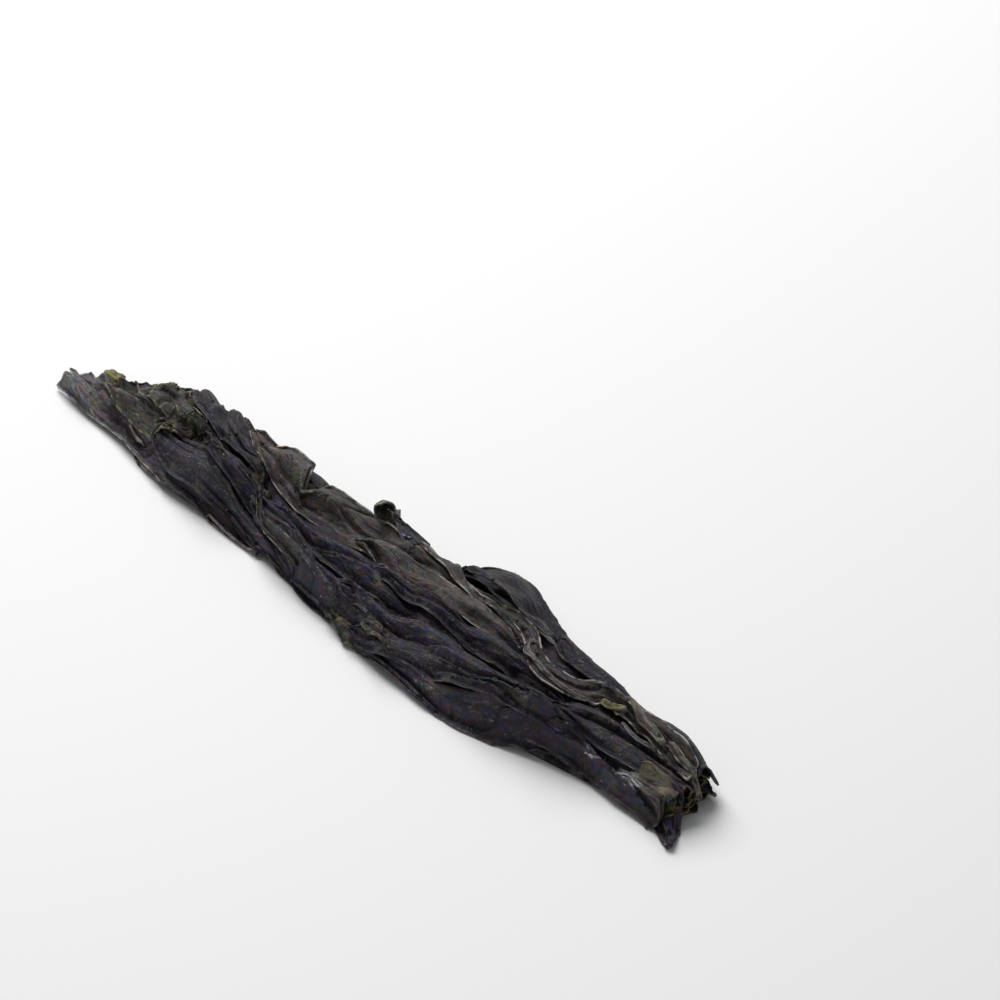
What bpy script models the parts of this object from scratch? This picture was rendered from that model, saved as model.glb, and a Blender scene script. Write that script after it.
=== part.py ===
"""Dried wakame: one cut length of the seaweed, its fronds folded lengthwise and dried into a bundle.

The bundle lies along X on the floor at z = 0, and its cut end points to +X. It is one solid: a low core with
a flat base, and on it the fronds that show, each a thin wavy slab that follows what lies under it. Lengths in
this file are in millimetres until a mesh is made. The drawing's own origin is a point inside the bundle, and
the finished solid is moved so that its origin is the middle of its footprint.
"""

from dataclasses import dataclass

import bmesh
import bpy
import numpy as np

MM = 0.001

# Driving sizes
FROND_THICKNESS = 1.2  # a frond with the plies folded under it
DEEPEST_SLAB = 2.6  # where a frond bridges a hollow
OVERLAP = 0.4  # how far a slab reaches into what carries it
FLOOR_GAP = 0.3  # between a frond's margin and the floor
LAYER_GAP = 0.15  # of one frond's face above the next
DRAPE = 2.2  # how widely a stiff frond bridges what it lies on
PLEAT_EDGE = 0.8  # flat strip along each margin
CORE_RIM = 0.6  # height of the core's edge
CORE_END = 66.0  # where the solid core stops, short of the cut end

# The inner plies that show at the cut end, as shares of the core's height
END_PLIES = (0.15, 0.45, 0.75)

# Sizes of the sampled surfaces
RELIEF_STEP = 0.25
RELIEF_FROM = np.array([-92.0, -26.0])
RELIEF_TO = np.array([92.0, 30.0])
FINE_ROW = 0.5
FINE_COLUMN = 0.35
COARSE_ROW = 4.0
COARSE_COLUMN = 1.25

# The core's cross-sections: x, y of the crest, reach to the near side, reach to the far side, height
CORE_SECTIONS = [
    (-76, -4.5, 2.5, 2.5, 0.5),
    (-66, 0.6, 6.0, 6.0, 3.4),
    (-56, 4.0, 9.0, 6.0, 5.4),
    (-42, 4.6, 10.0, 5.5, 6.6),
    (-20, 5.2, 10.0, 5.0, 7.4),
    (0, 6.2, 11.0, 5.0, 7.4),
    (20, 8.0, 12.5, 5.0, 7.0),
    (40, 9.0, 11.5, 5.5, 7.0),
    (58, 10.0, 10.0, 5.0, 6.6),
    (69, 9.5, 8.0, 4.5, 5.6),
]
CORE_STATIONS = 30
CORE_ACROSS = 12


@dataclass
class Frond:
    """One frond: its route over the bundle as (x, y, width, lift), and how it is pleated and cut."""

    name: str
    route: list
    seed: int
    steep: float = 50  # steepest slope of a pleat, degrees
    pleat: float = 2.6  # width of a pleat
    run: float = 22  # length of a pleat
    ragged: tuple = (2, 2)  # how far the threads fall short at each end
    tooth: float = 2.2  # width of a tooth at the ends
    slant: float = 0  # how much later the far margin starts
    tilt: float = 0  # rise from the near margin to the far one, degrees
    frill: float = 0.6  # how far a margin wanders
    ruffle: float = 0  # waves of the far margin
    lift: float = 0.8  # of the whole frond above what it lies on
    bite: tuple = ()  # (distance along, depth, half-width) of a fold in the far margin


# From the lowest frond to the one on top
FRONDS = [
    Frond("base", [(-67, -0.6, 9), (-54, 1.2, 14), (-38, 1.4, 16), (-20, 1.8, 17), (0, 2.8, 18),
                   (20, 4.6, 19), (40, 6.6, 17.5), (56, 8.2, 15), (69, 8, 13)],
          seed=3, steep=45, pleat=3.4, ragged=(3, 3)),
    Frond("tip_tuft", [(-81, -5, 4.5, 1), (-72, -5.5, 5.5, 0.5), (-60, -5.7, 5.5), (-48, -6.8, 5),
                       (-38, -6.7, 4.5), (-28, -6.4, 3)],
          seed=9, steep=58, pleat=1.9, ragged=(4, 3), tooth=1.3),
    Frond("back_left", [(-66, 4.0, 5), (-56, 7.2, 6.5), (-42, 7.6, 7), (-22, 8.0, 6)],
          seed=41, steep=50, pleat=2.6, ragged=(2, 3), frill=0.9),
    Frond("back_right", [(8, 10, 4), (24, 11.6, 6.5), (44, 12.6, 7), (58, 13.4, 7), (70, 12.4, 6)],
          seed=42, steep=50, pleat=2.6, ragged=(3, 2), frill=0.9),
    Frond("back_middle", [(-34, 6.8, 4), (-20, 7.8, 6.5), (0, 9.2, 7), (20, 11, 5)],
          seed=43, steep=55, pleat=2.4, ragged=(3, 3), frill=0.9, lift=0.7),
    Frond("far_flap", [(4, 12, 5), (12, 15.4, 9, 0.8), (20, 16.6, 8.5, 1.2), (30.5, 14.2, 3.5, 0.8)],
          seed=11, steep=35, pleat=4.5, frill=1.6, tilt=6, ruffle=1.2, lift=2.4),
    Frond("rim_lobe", [(31, 12, 3), (37, 13.2, 5), (48, 14.2, 5.5), (58, 14.4, 5), (70, 12.8, 4.5)],
          seed=12, steep=45, pleat=3.2, tilt=8, lift=2.0),
    Frond("end_point", [(60, 3.8, 4), (67.5, 1.8, 3.2), (72.5, -0.8, 0.4)],
          seed=27, steep=30, pleat=3, ragged=(1, 0), frill=0.2, lift=0.6),
    Frond("left_leaf", [(-71, 1.6, 11, 0.8), (-62, 2.8, 14, 0.6), (-52, 2.2, 12.5), (-39, 0.2, 8.5),
                        (-26, -1.4, 5.5)],
          seed=14, steep=62, pleat=2.4, run=18, ragged=(2.5, 3), tooth=1.2, slant=11, lift=1.1),
    Frond("upper_blade", [(-60, 10.4, 3, 1), (-53, 8.6, 4.6, 0.5), (-46, 5.8, 4.2), (-38, 3.2, 3.5),
                          (-28, 1.6, 3), (-15, 1.4, 2.2)],
          seed=15, steep=45, pleat=2.4),
    Frond("upper_lobe", [(-51, 10.6, 2, 1.2), (-47, 9, 4, 0.6), (-41, 6.4, 3.8), (-33, 4.2, 3)],
          seed=16, steep=45, pleat=2.4),
    Frond("lower_blade", [(-58, -3, 4), (-45, -4, 6), (-33, -4.9, 6), (-20, -6.2, 5), (-8, -7.2, 3)],
          seed=18, steep=50, pleat=2.8),
    Frond("low_blade", [(-32, -2.8, 3), (-18, -4, 5.5), (-4, -4.7, 6), (6, -5.2, 4.5), (12, -5.8, 2.5)],
          seed=19, steep=50, pleat=2.4),
    Frond("front_roll", [(6.5, -9, 2.2), (12, -7.6, 4.2), (20, -5.3, 5.6), (30, -3.7, 6),
                         (40, -1.9, 5.8), (48, 1, 5), (57, 2.4, 4.5), (66, 2.2, 4, 0.4)],
          seed=21, steep=34, pleat=3.6, run=30, tooth=1.6, tilt=12),
    Frond("middle_blade", [(-20, -1.5, 3.5), (-4, -2.3, 5.5), (10, -2.6, 6.5), (24, -1.2, 6.5),
                           (38, 0.8, 6), (50, 2.4, 4)],
          seed=22, steep=55, pleat=2.4, lift=0.7),
    Frond("high_blade", [(-16, 1, 3.5), (0, 2.2, 5), (16, 2.8, 6), (32, 4, 6.5), (46, 4.7, 6),
                         (60, 5.6, 5), (70, 4.8, 4.5)],
          seed=23, steep=55, pleat=2.4, lift=0.7),
    Frond("right_blade", [(40, 7.6, 3), (50, 7.8, 5.5), (60, 7.4, 5.5), (70.5, 6.8, 4.5)],
          seed=24, steep=45, pleat=2.4, lift=0.7),
    Frond("brown_flat", [(50, 1.8, 2.5), (57, 3.0, 4.5), (64, 3.8, 5.2), (71, 3.5, 4.5)],
          seed=26, steep=28, pleat=3, lift=0.6),
    Frond("grey_frond", [(-42, 8.6, 2.2, 0.6), (-35, 7.4, 7, 0.3), (-27, 6.4, 7.5), (-18, 7.2, 8.5),
                         (-8, 8.4, 7.5), (2, 8, 6.5), (12, 7.2, 5.5), (21, 7.6, 4), (31, 8.6, 3)],
          seed=31, steep=50, pleat=2.6, run=12, ruffle=1.3, lift=0.7, bite=(19, 3.5, 3.5)),
    Frond("grey_ribbon", [(-6, 9.6, 1.5, 0.2), (0, 10.4, 2.4, 0.3), (6, 10.6, 2.6, 0.3),
                          (13, 8.8, 2.4, 0.3), (18, 8.6, 2.2, 0.5), (22.5, 10.6, 2.6, 0.6),
                          (27, 9.8, 2.4, 0.6), (33, 6.8, 2.4, 0.4), (39, 6.6, 2.4, 0.4), (45, 9.6, 3.5),
                          (52, 10.6, 4.5), (62, 11, 5), (71, 10, 4)],
          seed=32, steep=55, pleat=2.0, run=10, lift=0.8),
]


def smooth_noise(seed, u, v):
    """Smooth values between -1 and 1, with one random value at each whole u and v."""
    table = np.random.default_rng(seed).uniform(-1, 1, (64, 64))
    column, row = np.floor(u).astype(int), np.floor(v).astype(int)
    across, along = u - column, v - row
    across = across**3 * (across * (6 * across - 15) + 10)
    along = along**3 * (along * (6 * along - 15) + 10)

    def value(right, up):
        return table[(column + right) % 64, (row + up) % 64]

    low = value(0, 0) * (1 - across) + value(1, 0) * across
    high = value(0, 1) * (1 - across) + value(1, 1) * across
    return low * (1 - along) + high * along


def point_on_route(route, share):
    """The smooth curve through the rows of a route, at shares of its length, and that length."""
    rows = np.array([tuple(row) + (0.0,) * (4 - len(row)) for row in route], float)
    chord = np.concatenate([[0], np.cumsum(np.hypot(*np.diff(rows[:, :2], axis=0).T))])
    slope = np.empty_like(rows)
    slope[1:-1] = (rows[2:] - rows[:-2]) / (chord[2:] - chord[:-2])[:, None]
    slope[0] = (rows[1] - rows[0]) / (chord[1] - chord[0])
    slope[-1] = (rows[-1] - rows[-2]) / (chord[-1] - chord[-2])
    place = np.clip(share, 0, 1) * chord[-1]
    left = np.clip(np.searchsorted(chord, place, side="right") - 1, 0, len(rows) - 2)
    step = (chord[left + 1] - chord[left])[..., None]
    t = (place - chord[left])[..., None] / step
    point = (2 * t**3 - 3 * t**2 + 1) * rows[left] + (t**3 - 2 * t**2 + t) * step * slope[left]
    point += (3 * t**2 - 2 * t**3) * rows[left + 1] + (t**3 - t**2) * step * slope[left + 1]
    return point, chord[-1]


def between(value, low, high):
    return np.clip((value - low) / (high - low), 0, 1)


class Relief:
    """The height of the bundle over the floor, on a square grid, as frond after frond is laid on it."""

    def __init__(self):
        self.count = ((RELIEF_TO - RELIEF_FROM) / RELIEF_STEP).astype(int) + 1
        self.height = np.zeros(self.count)

    def axes(self):
        x, y = (RELIEF_FROM[i] + RELIEF_STEP * np.arange(self.count[i]) for i in (0, 1))
        return np.meshgrid(x, y, indexing="ij")

    def cell(self, x, y):
        u = np.clip((x - RELIEF_FROM[0]) / RELIEF_STEP, 0, self.count[0] - 1.001)
        v = np.clip((y - RELIEF_FROM[1]) / RELIEF_STEP, 0, self.count[1] - 1.001)
        return u, v

    def at(self, height, x, y):
        u, v = self.cell(x, y)
        i, j = u.astype(int), v.astype(int)
        a, b = u - i, v - j
        low = height[i, j] * (1 - a) + height[i + 1, j] * a
        high = height[i, j + 1] * (1 - a) + height[i + 1, j + 1] * a
        return low * (1 - b) + high * b

    def smoothed(self, reach):
        """The relief as a stiff leaf feels it: averaged over a disc of this reach."""
        count = max(1, round(reach / RELIEF_STEP))
        weights = np.hanning(2 * count + 3)[1:-1]
        weights /= weights.sum()
        result = self.height
        for axis in (0, 1):
            result = np.apply_along_axis(
                lambda line: np.convolve(np.pad(line, count, mode="edge"), weights, "valid"), axis, result
            )
        return result

    def raise_to(self, surface):
        """Takes in a surface given as rows and columns of points."""
        rows, columns = surface.shape[:2]
        a = np.linspace(0, rows - 1.001, rows * 4)
        b = np.linspace(0, columns - 1.001, columns * 4)
        i, j = a.astype(int), b.astype(int)
        p, q = (a - i)[:, None, None], (b - j)[None, :, None]
        low = surface[i][:, j] * (1 - p) + surface[i + 1][:, j] * p
        high = surface[i][:, j + 1] * (1 - p) + surface[i + 1][:, j + 1] * p
        points = low * (1 - q) + high * q
        u, v = self.cell(points[..., 0], points[..., 1])
        np.maximum.at(self.height, (np.round(u).astype(int), np.round(v).astype(int)), points[..., 2])


def core_height(x, y):
    """Height of the core over the floor: a slope on the near side and a steeper shoulder on the far side."""
    share = between(x, CORE_SECTIONS[0][0], CORE_SECTIONS[-1][0])
    stations, _ = point_on_route([(row[0], 0) for row in CORE_SECTIONS], share)
    columns = np.array(CORE_SECTIONS, float).T
    crest, near, far, height = (np.interp(stations[..., 0], columns[0], column) for column in columns[1:])
    out = np.clip(np.where(y < crest, (crest - y) / near, (y - crest) / far), 0, 1)
    slope, shoulder = (1 - out**2) ** 0.8, (1 - out**4) ** 0.5
    inside = (x >= CORE_SECTIONS[0][0]) & (x <= CORE_SECTIONS[-1][0])
    return np.where(inside, height * np.where(y < crest, slope, shoulder), 0)


def frond_surface(frond, relief):
    """The frond's upper face, laid on the relief: rows along the frond and columns across it."""
    _, length = point_on_route(frond.route, np.array([0.0]))
    widest = max(row[2] for row in frond.route)
    unfolded = widest * 1.35
    rows, columns = int(length / FINE_ROW), int(unfolded / FINE_COLUMN)
    t = np.linspace(0, 1, rows)[:, None]
    a = np.linspace(0, 1, columns)[None, :]

    # The ends are cut into teeth, so each thread starts and stops at its own distance
    start = frond.ragged[0] * (0.5 + 0.5 * smooth_noise(frond.seed + 11, a * widest / frond.tooth, 0 * a + 0.3))
    start = start + frond.slant * a
    stop = frond.ragged[1] * (0.5 + 0.5 * smooth_noise(frond.seed + 12, a * widest / frond.tooth, 0 * a + 0.7))
    along = start + t * (length - start - stop)
    line = 0 * along
    centre, _ = point_on_route(frond.route, along / length)
    ahead, _ = point_on_route(frond.route, along / length + 0.001)
    behind, _ = point_on_route(frond.route, along / length - 0.001)
    heading = (ahead - behind)[..., :2]
    heading /= np.linalg.norm(heading, axis=-1, keepdims=True)
    side = np.stack([-heading[..., 1], heading[..., 0]], -1)

    # Across the frond the face rises and falls in pleats, given by their slope at each point
    face = a * unfolded
    drift = 0.6 * smooth_noise(frond.seed + 4, along / frond.run / 1.5, line + 0.2)
    slope = np.tanh(2.2 * smooth_noise(frond.seed + 3, along / frond.run, face / frond.pleat + drift))
    margin = between(np.minimum(face, unfolded - face), 0, PLEAT_EDGE)
    slope = np.radians(frond.steep) * slope * margin**2 * (3 - 2 * margin)
    step = np.diff(face, axis=1)
    mean = 0.5 * (slope[:, 1:] + slope[:, :-1])
    zero = np.zeros((rows, 1))
    across = np.concatenate([zero, np.cumsum(np.cos(mean) * step, 1)], 1)
    rise = np.concatenate([zero, np.cumsum(np.sin(mean) * step, 1)], 1)

    # The pleated face is fitted to the frond's width, level from margin to margin
    wander = 0.7 * smooth_noise(frond.seed + 1, along / 7, line + 0.5)
    wander = frond.frill * (wander + 0.3 * smooth_noise(frond.seed + 2, along / 2.5, line + 0.5))
    width = centre[..., 2] + wander
    share = across / across[:, -1:]
    rise = (rise - rise[:, -1:] * share) * width / across[:, -1:]
    rise = rise - rise.mean(1, keepdims=True)
    offset = (share - 0.5) * width
    if frond.bite:
        at, depth, half = frond.bite
        offset = offset - depth * np.clip(1 - abs(along[:, :1] - at) / half, 0, 1) * share**1.5
    rise = rise + np.tan(np.radians(frond.tilt)) * offset
    rise = rise + frond.ruffle * share**2 * smooth_noise(frond.seed + 14, along / 4.5, line + 0.6)

    x = centre[..., 0] + side[..., 0] * offset
    y = centre[..., 1] + side[..., 1] * offset
    z = relief.at(relief.smoothed(DRAPE), x, y) + rise + frond.lift + centre[..., 3]
    z = np.maximum(z, relief.at(relief.height, x, y) + LAYER_GAP)
    return np.stack([x, y, z], -1)


def every(surface, row_step, column_step):
    """The surface with rows and columns about these distances apart, its margins and ends kept."""
    rows = max(3, round(surface.shape[0] * FINE_ROW / row_step))
    columns = max(4, round(surface.shape[1] * FINE_COLUMN / column_step))
    i = np.linspace(0, surface.shape[0] - 1, rows).round().astype(int)
    j = np.linspace(0, surface.shape[1] - 1, columns).round().astype(int)
    return surface[i][:, j]


def slab(name, top, bottom):
    """A closed solid between two sheets of points, both split into triangles alike."""
    shape = bmesh.new()
    rows, columns = top.shape[:2]
    upper, lower = ([[shape.verts.new(point * MM) for point in row] for row in sheet] for sheet in (top, bottom))
    for i in range(rows - 1):
        for j in range(columns - 1):
            corners = (i, j), (i + 1, j), (i + 1, j + 1), (i, j + 1)
            for a, b, c in ((0, 1, 2), (0, 2, 3)):
                shape.faces.new([upper[corners[k][0]][corners[k][1]] for k in (a, b, c)])
                shape.faces.new([lower[corners[k][0]][corners[k][1]] for k in (c, b, a)])
    rim = [(i, 0) for i in range(rows)] + [(rows - 1, j) for j in range(1, columns)]
    rim += [(i, columns - 1) for i in range(rows - 2, -1, -1)] + [(0, j) for j in range(columns - 2, 0, -1)]
    for (i, j), (k, m) in zip(rim, rim[1:] + rim[:1]):
        shape.faces.new([upper[i][j], lower[i][j], lower[k][m]])
        shape.faces.new([upper[i][j], lower[k][m], upper[k][m]])
    bmesh.ops.recalc_face_normals(shape, faces=shape.faces)
    mesh = bpy.data.meshes.new(name)
    shape.to_mesh(mesh)
    shape.free()
    return bpy.data.objects.new(name, mesh)


def core_slab():
    """The core: the folded inner plies as one low body with a flat base."""
    columns = np.array(CORE_SECTIONS, float).T
    x = np.linspace(columns[0][0], CORE_END, CORE_STATIONS)[:, None]
    crest, near, far = (np.interp(x, columns[0], column) for column in columns[1:4])
    out = np.sin(np.linspace(-1, 1, CORE_ACROSS + 1) * np.pi / 2)[None, :]
    y = crest + out * np.where(out < 0, near, far)
    x = x + 0 * y
    top = np.stack([x, y, core_height(x, y) + CORE_RIM], -1)
    return slab("wakame", top, top * [1, 1, 0])


def frond_slab(frond, relief):
    """A frond as a thin wavy solid that reaches a little way into what carries it."""
    under = relief.height.copy()
    surface = frond_surface(frond, relief)
    relief.raise_to(surface)
    top = every(surface, COARSE_ROW, COARSE_COLUMN)
    depth = top[..., 2] - relief.at(under, top[..., 0], top[..., 1]) + OVERLAP
    bottom = top.copy()
    bottom[..., 2] -= np.clip(depth, FROND_THICKNESS, DEEPEST_SLAB)
    bottom[..., 2] = np.maximum(bottom[..., 2], FLOOR_GAP)
    top[..., 2] = np.maximum(top[..., 2], bottom[..., 2] + FLOOR_GAP)
    return slab(frond.name, top, bottom)


def end_plies():
    """The inner plies, which leave the core where it stops and are cut ragged."""
    plies = []
    for number, share in enumerate(END_PLIES):
        relief = Relief()
        relief.height = share * core_height(*relief.axes())
        ply = Frond(f"ply_{number}", [(57, 8.4, 12), (70, 7.6, 12)],
                    seed=51 + number, steep=55, pleat=2.6, ragged=(0, 4), tooth=2.6, lift=0.8)
        plies.append(frond_slab(ply, relief))
    return plies


def fuse(core, slabs):
    """Joins the fronds to the core with one Boolean union, and applies it."""
    group = bpy.data.collections.new("fronds")
    bpy.context.scene.collection.children.link(group)
    for piece in slabs:
        group.objects.link(piece)
    union = core.modifiers.new("fronds", "BOOLEAN")
    union.operation = "UNION"
    union.operand_type = "COLLECTION"
    union.collection = group
    union.solver = "EXACT"
    bpy.context.view_layer.update()
    fused = bpy.data.meshes.new_from_object(core.evaluated_get(bpy.context.evaluated_depsgraph_get()))
    core.modifiers.clear()
    core.data = fused
    fused.name = core.name
    for piece in slabs:
        bpy.data.objects.remove(piece)
    bpy.data.collections.remove(group)


def keep_outer_shell(body):
    """Drops every shell but the largest: sealed hollows between plies are filled, and loose scraps go."""
    shape = bmesh.new()
    shape.from_mesh(body.data)
    bmesh.ops.triangulate(shape, faces=shape.faces)
    waiting = set(shape.faces)
    shells = []
    while waiting:
        shell, edge = [], [waiting.pop()]
        while edge:
            face = edge.pop()
            shell.append(face)
            near = {other for side in face.edges for other in side.link_faces} & waiting
            waiting -= near
            edge.extend(near)
        shells.append(shell)
    shells.sort(key=len)
    bmesh.ops.delete(shape, geom=[face for shell in shells[:-1] for face in shell], context="FACES")
    bmesh.ops.delete(shape, geom=[vert for vert in shape.verts if not vert.link_faces], context="VERTS")
    shape.to_mesh(body.data)
    shape.free()


def centre_on_footprint(body):
    points = np.array([vert.co for vert in body.data.vertices])
    low, high = points.min(0), points.max(0)
    middle = (low + high) / 2
    print("drawing centre (mm):", (middle[:2] / MM).round(3), "size:", ((high - low) / MM).round(2))
    for vert in body.data.vertices:
        vert.co.x -= middle[0]
        vert.co.y -= middle[1]
        vert.co.z -= low[2]


def dried_frond_material():
    material = bpy.data.materials.new("dried frond")
    material.use_nodes = True
    shader = material.node_tree.nodes["Principled BSDF"]
    shader.inputs["Base Color"].default_value = (0.028, 0.026, 0.032, 1)
    shader.inputs["Roughness"].default_value = 0.55
    shader.inputs["Metallic"].default_value = 0
    return material


def main():
    for thing in list(bpy.data.objects):
        bpy.data.objects.remove(thing)
    relief = Relief()
    relief.height = core_height(*relief.axes())
    body = core_slab()
    bpy.context.scene.collection.objects.link(body)
    fuse(body, [frond_slab(frond, relief) for frond in FRONDS] + end_plies())
    keep_outer_shell(body)
    centre_on_footprint(body)
    body.data.materials.clear()
    body.data.materials.append(dried_frond_material())


main()
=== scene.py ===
# %% [markdown]
# # Dried wakame
#
# Wakame is a seaweed whose long thin fronds are hung up and dried. As it dries, each frond pleats
# along its length and sticks to its neighbours, so a cut length is a bundle of dark wavy plies,
# torn at one end and cut across at the other. This lesson dresses the solid model of one such
# bundle: it lays real thin fronds one over the other, creases them, and gives them the dry,
# salt-bloomed finish.
#
# The first cell loads the solid model, which fixes where everything is and how large it may be.

# %% Load the solid model
import math
from dataclasses import dataclass

import bpy
import numpy as np
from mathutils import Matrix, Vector


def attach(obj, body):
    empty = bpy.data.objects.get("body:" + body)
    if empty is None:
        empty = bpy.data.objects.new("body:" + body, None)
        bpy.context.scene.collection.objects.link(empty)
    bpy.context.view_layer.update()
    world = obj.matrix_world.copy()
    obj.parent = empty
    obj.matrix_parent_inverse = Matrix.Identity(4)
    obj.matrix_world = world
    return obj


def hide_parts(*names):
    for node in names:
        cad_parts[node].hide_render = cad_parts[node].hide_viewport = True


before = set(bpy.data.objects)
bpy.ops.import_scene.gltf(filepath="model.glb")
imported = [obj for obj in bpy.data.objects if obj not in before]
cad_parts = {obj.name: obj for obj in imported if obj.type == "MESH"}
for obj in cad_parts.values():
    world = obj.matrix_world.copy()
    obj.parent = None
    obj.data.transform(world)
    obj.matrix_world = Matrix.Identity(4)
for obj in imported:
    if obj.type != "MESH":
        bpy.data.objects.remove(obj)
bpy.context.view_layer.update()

MM = 0.001
DRAWING_CENTRE = np.array([-3.8, 5.5, 0.0])  # the footprint's middle in the drawing of the fronds, mm

# %% [markdown]
# ## The camera
#
# The bundle is looked at from its right front and from well above. A long lens from over half a
# metre away keeps its sides nearly parallel, as a product photograph does. The camera aims past
# the bundle, so that it lies low and to the left in the picture.

# %% Set up the camera
AZIMUTH = math.radians(50.6)
ELEVATION = math.radians(40.0)
DISTANCE = 593.0
AIM = np.array([-7.67, 32.76, 0.0])
LENS = 126.0
SENSOR_WIDTH = 36.0


def put_in_scene(name, data):
    """A new object of that name in the scene."""
    thing = bpy.data.objects.new(name, data)
    bpy.context.scene.collection.objects.link(thing)
    return thing


def look_from(thing, place, target):
    """Puts a camera or a light at a place in metres and turns it to its target."""
    thing.location = place
    thing.rotation_euler = (Vector(target) - Vector(place)).to_track_quat("-Z", "Y").to_euler()


away = Vector((-math.sin(AZIMUTH), math.cos(AZIMUTH), 0))
left = Vector((-math.cos(AZIMUTH), -math.sin(AZIMUTH), 0))
level = math.cos(ELEVATION)
towards_camera = np.array([math.sin(AZIMUTH) * level, -math.cos(AZIMUTH) * level, math.sin(ELEVATION)])
aim = (AIM - DRAWING_CENTRE) * MM
camera = put_in_scene("camera", bpy.data.cameras.new("camera"))
camera.data.lens = LENS
camera.data.sensor_width = SENSOR_WIDTH
look_from(camera, aim + towards_camera * DISTANCE * MM, aim)
bpy.context.scene.camera = camera
print("camera at", [round(v, 3) for v in camera.location])

# %% [markdown]
# ## Floor and light
#
# Dark, nearly matte food shows its folds only by soft light that grazes them. One large soft
# lamp stands behind and above the bundle, so every ridge catches a dim sheen and every crevice
# stays dark, and a bright even sky fills the rest. The floor is plain and nearly white.

# %% Make the floor and the light
FLOOR_SIZE = 3.0
FLOOR_COLOUR = (0.80, 0.80, 0.79, 1)
FLOOR_ROUGHNESS = 0.6
SKY_COLOUR = (0.96, 0.98, 1.0, 1)
SKY_STRENGTH = 0.26
LAMP_SIZE = 0.7
LAMP_POWER = 9.8
LAMP_BEHIND = 0.50
LAMP_LEFT = 0.18
LAMP_HEIGHT = 0.72

floor_material = bpy.data.materials.new("pale floor")
floor_material.use_nodes = True
floor_shader = floor_material.node_tree.nodes["Principled BSDF"]
floor_shader.inputs["Base Color"].default_value = FLOOR_COLOUR
floor_shader.inputs["Roughness"].default_value = FLOOR_ROUGHNESS
half = FLOOR_SIZE / 2
corners = [(-half, -half, 0), (half, -half, 0), (half, half, 0), (-half, half, 0)]
floor_mesh = bpy.data.meshes.new("floor")
floor_mesh.from_pydata(corners, [], [(0, 1, 2, 3)])
floor_mesh.materials.append(floor_material)
floor = put_in_scene("floor", floor_mesh)

world = bpy.data.worlds.new("soft sky")
world.use_nodes = True
world.node_tree.nodes["Background"].inputs["Color"].default_value = SKY_COLOUR
world.node_tree.nodes["Background"].inputs["Strength"].default_value = SKY_STRENGTH
bpy.context.scene.world = world
bpy.context.scene.view_settings.view_transform = "Standard"

lamp = put_in_scene("soft lamp", bpy.data.lights.new("soft lamp", "AREA"))
lamp.data.size = LAMP_SIZE
lamp.data.energy = LAMP_POWER
look_from(lamp, away * LAMP_BEHIND + left * LAMP_LEFT + Vector((0, 0, LAMP_HEIGHT)), (0, 0, 0))
print("lamp at", [round(v, 2) for v in lamp.location])

# %% [markdown]
# ## Noise that can be repeated
#
# Pleats, teeth and wandering margins all come from smooth random values. NumPy's seeded generator
# fills a small table, and a smooth blend between its entries gives the same wave each run.

# %% Smooth noise and smooth routes
TABLE_SIZE = 64


def smooth_noise(seed, u, v):
    """Smooth values between -1 and 1, with one random value at each whole u and v."""
    table = np.random.default_rng(seed).uniform(-1, 1, (TABLE_SIZE, TABLE_SIZE))
    column, row = np.floor(u).astype(int), np.floor(v).astype(int)
    across, along = u - column, v - row
    across = across**3 * (across * (6 * across - 15) + 10)
    along = along**3 * (along * (6 * along - 15) + 10)

    def value(right, up):
        return table[(column + right) % TABLE_SIZE, (row + up) % TABLE_SIZE]

    low = value(0, 0) * (1 - across) + value(1, 0) * across
    high = value(0, 1) * (1 - across) + value(1, 1) * across
    return low * (1 - along) + high * along


def point_on_route(route, share):
    """The smooth curve through the rows of a route, at shares of its length, and that length."""
    rows = np.array([tuple(row) + (0.0,) * (4 - len(row)) for row in route], float)
    chord = np.concatenate([[0], np.cumsum(np.hypot(*np.diff(rows[:, :2], axis=0).T))])
    slope = np.empty_like(rows)
    slope[1:-1] = (rows[2:] - rows[:-2]) / (chord[2:] - chord[:-2])[:, None]
    slope[0] = (rows[1] - rows[0]) / (chord[1] - chord[0])
    slope[-1] = (rows[-1] - rows[-2]) / (chord[-1] - chord[-2])
    place = np.clip(share, 0, 1) * chord[-1]
    left_row = np.clip(np.searchsorted(chord, place, side="right") - 1, 0, len(rows) - 2)
    step = (chord[left_row + 1] - chord[left_row])[..., None]
    t = (place - chord[left_row])[..., None] / step
    point = (2 * t**3 - 3 * t**2 + 1) * rows[left_row] + (t**3 - 2 * t**2 + t) * step * slope[left_row]
    point += (3 * t**2 - 2 * t**3) * rows[left_row + 1] + (t**3 - t**2) * step * slope[left_row + 1]
    return point, chord[-1]


def ramp(value, low, high):
    """0 below low, 1 above high, and a smooth rise between."""
    share = np.clip((value - low) / (high - low), 0, 1)
    return share * share * (3 - 2 * share)


print("a smooth wave:", smooth_noise(1, np.linspace(0, 2, 5), 0 * np.arange(5)).round(2))

# %% [markdown]
# ## The relief
#
# A frond takes the shape of what it dried on. So the script keeps a height map of the bundle, the
# relief, and lays one frond after another on it: each new frond reads the relief, softened
# because a leaf is stiff, and then raises it. Layers can't sink into each other that way, and
# nobody has to place a single point by hand.

# %% The relief
RELIEF_STEP = 0.25
RELIEF_FROM = np.array([-92.0, -26.0])
RELIEF_TO = np.array([92.0, 30.0])
DRAPE = 1.8  # how widely a leaf bridges what it lies on
LAYER_GAP = 0.12
PAST_END = 1.001  # keeps a place just before a grid's last step


def blurred(values, count):
    """The grid of values, softened over that many of its steps each way."""
    weights = np.hanning(2 * count + 3)[1:-1]
    weights /= weights.sum()

    def blurred_line(line):
        return np.convolve(np.pad(line, count, mode="edge"), weights, "valid")

    for axis in (0, 1):
        values = np.apply_along_axis(blurred_line, axis, values)
    return values


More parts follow.
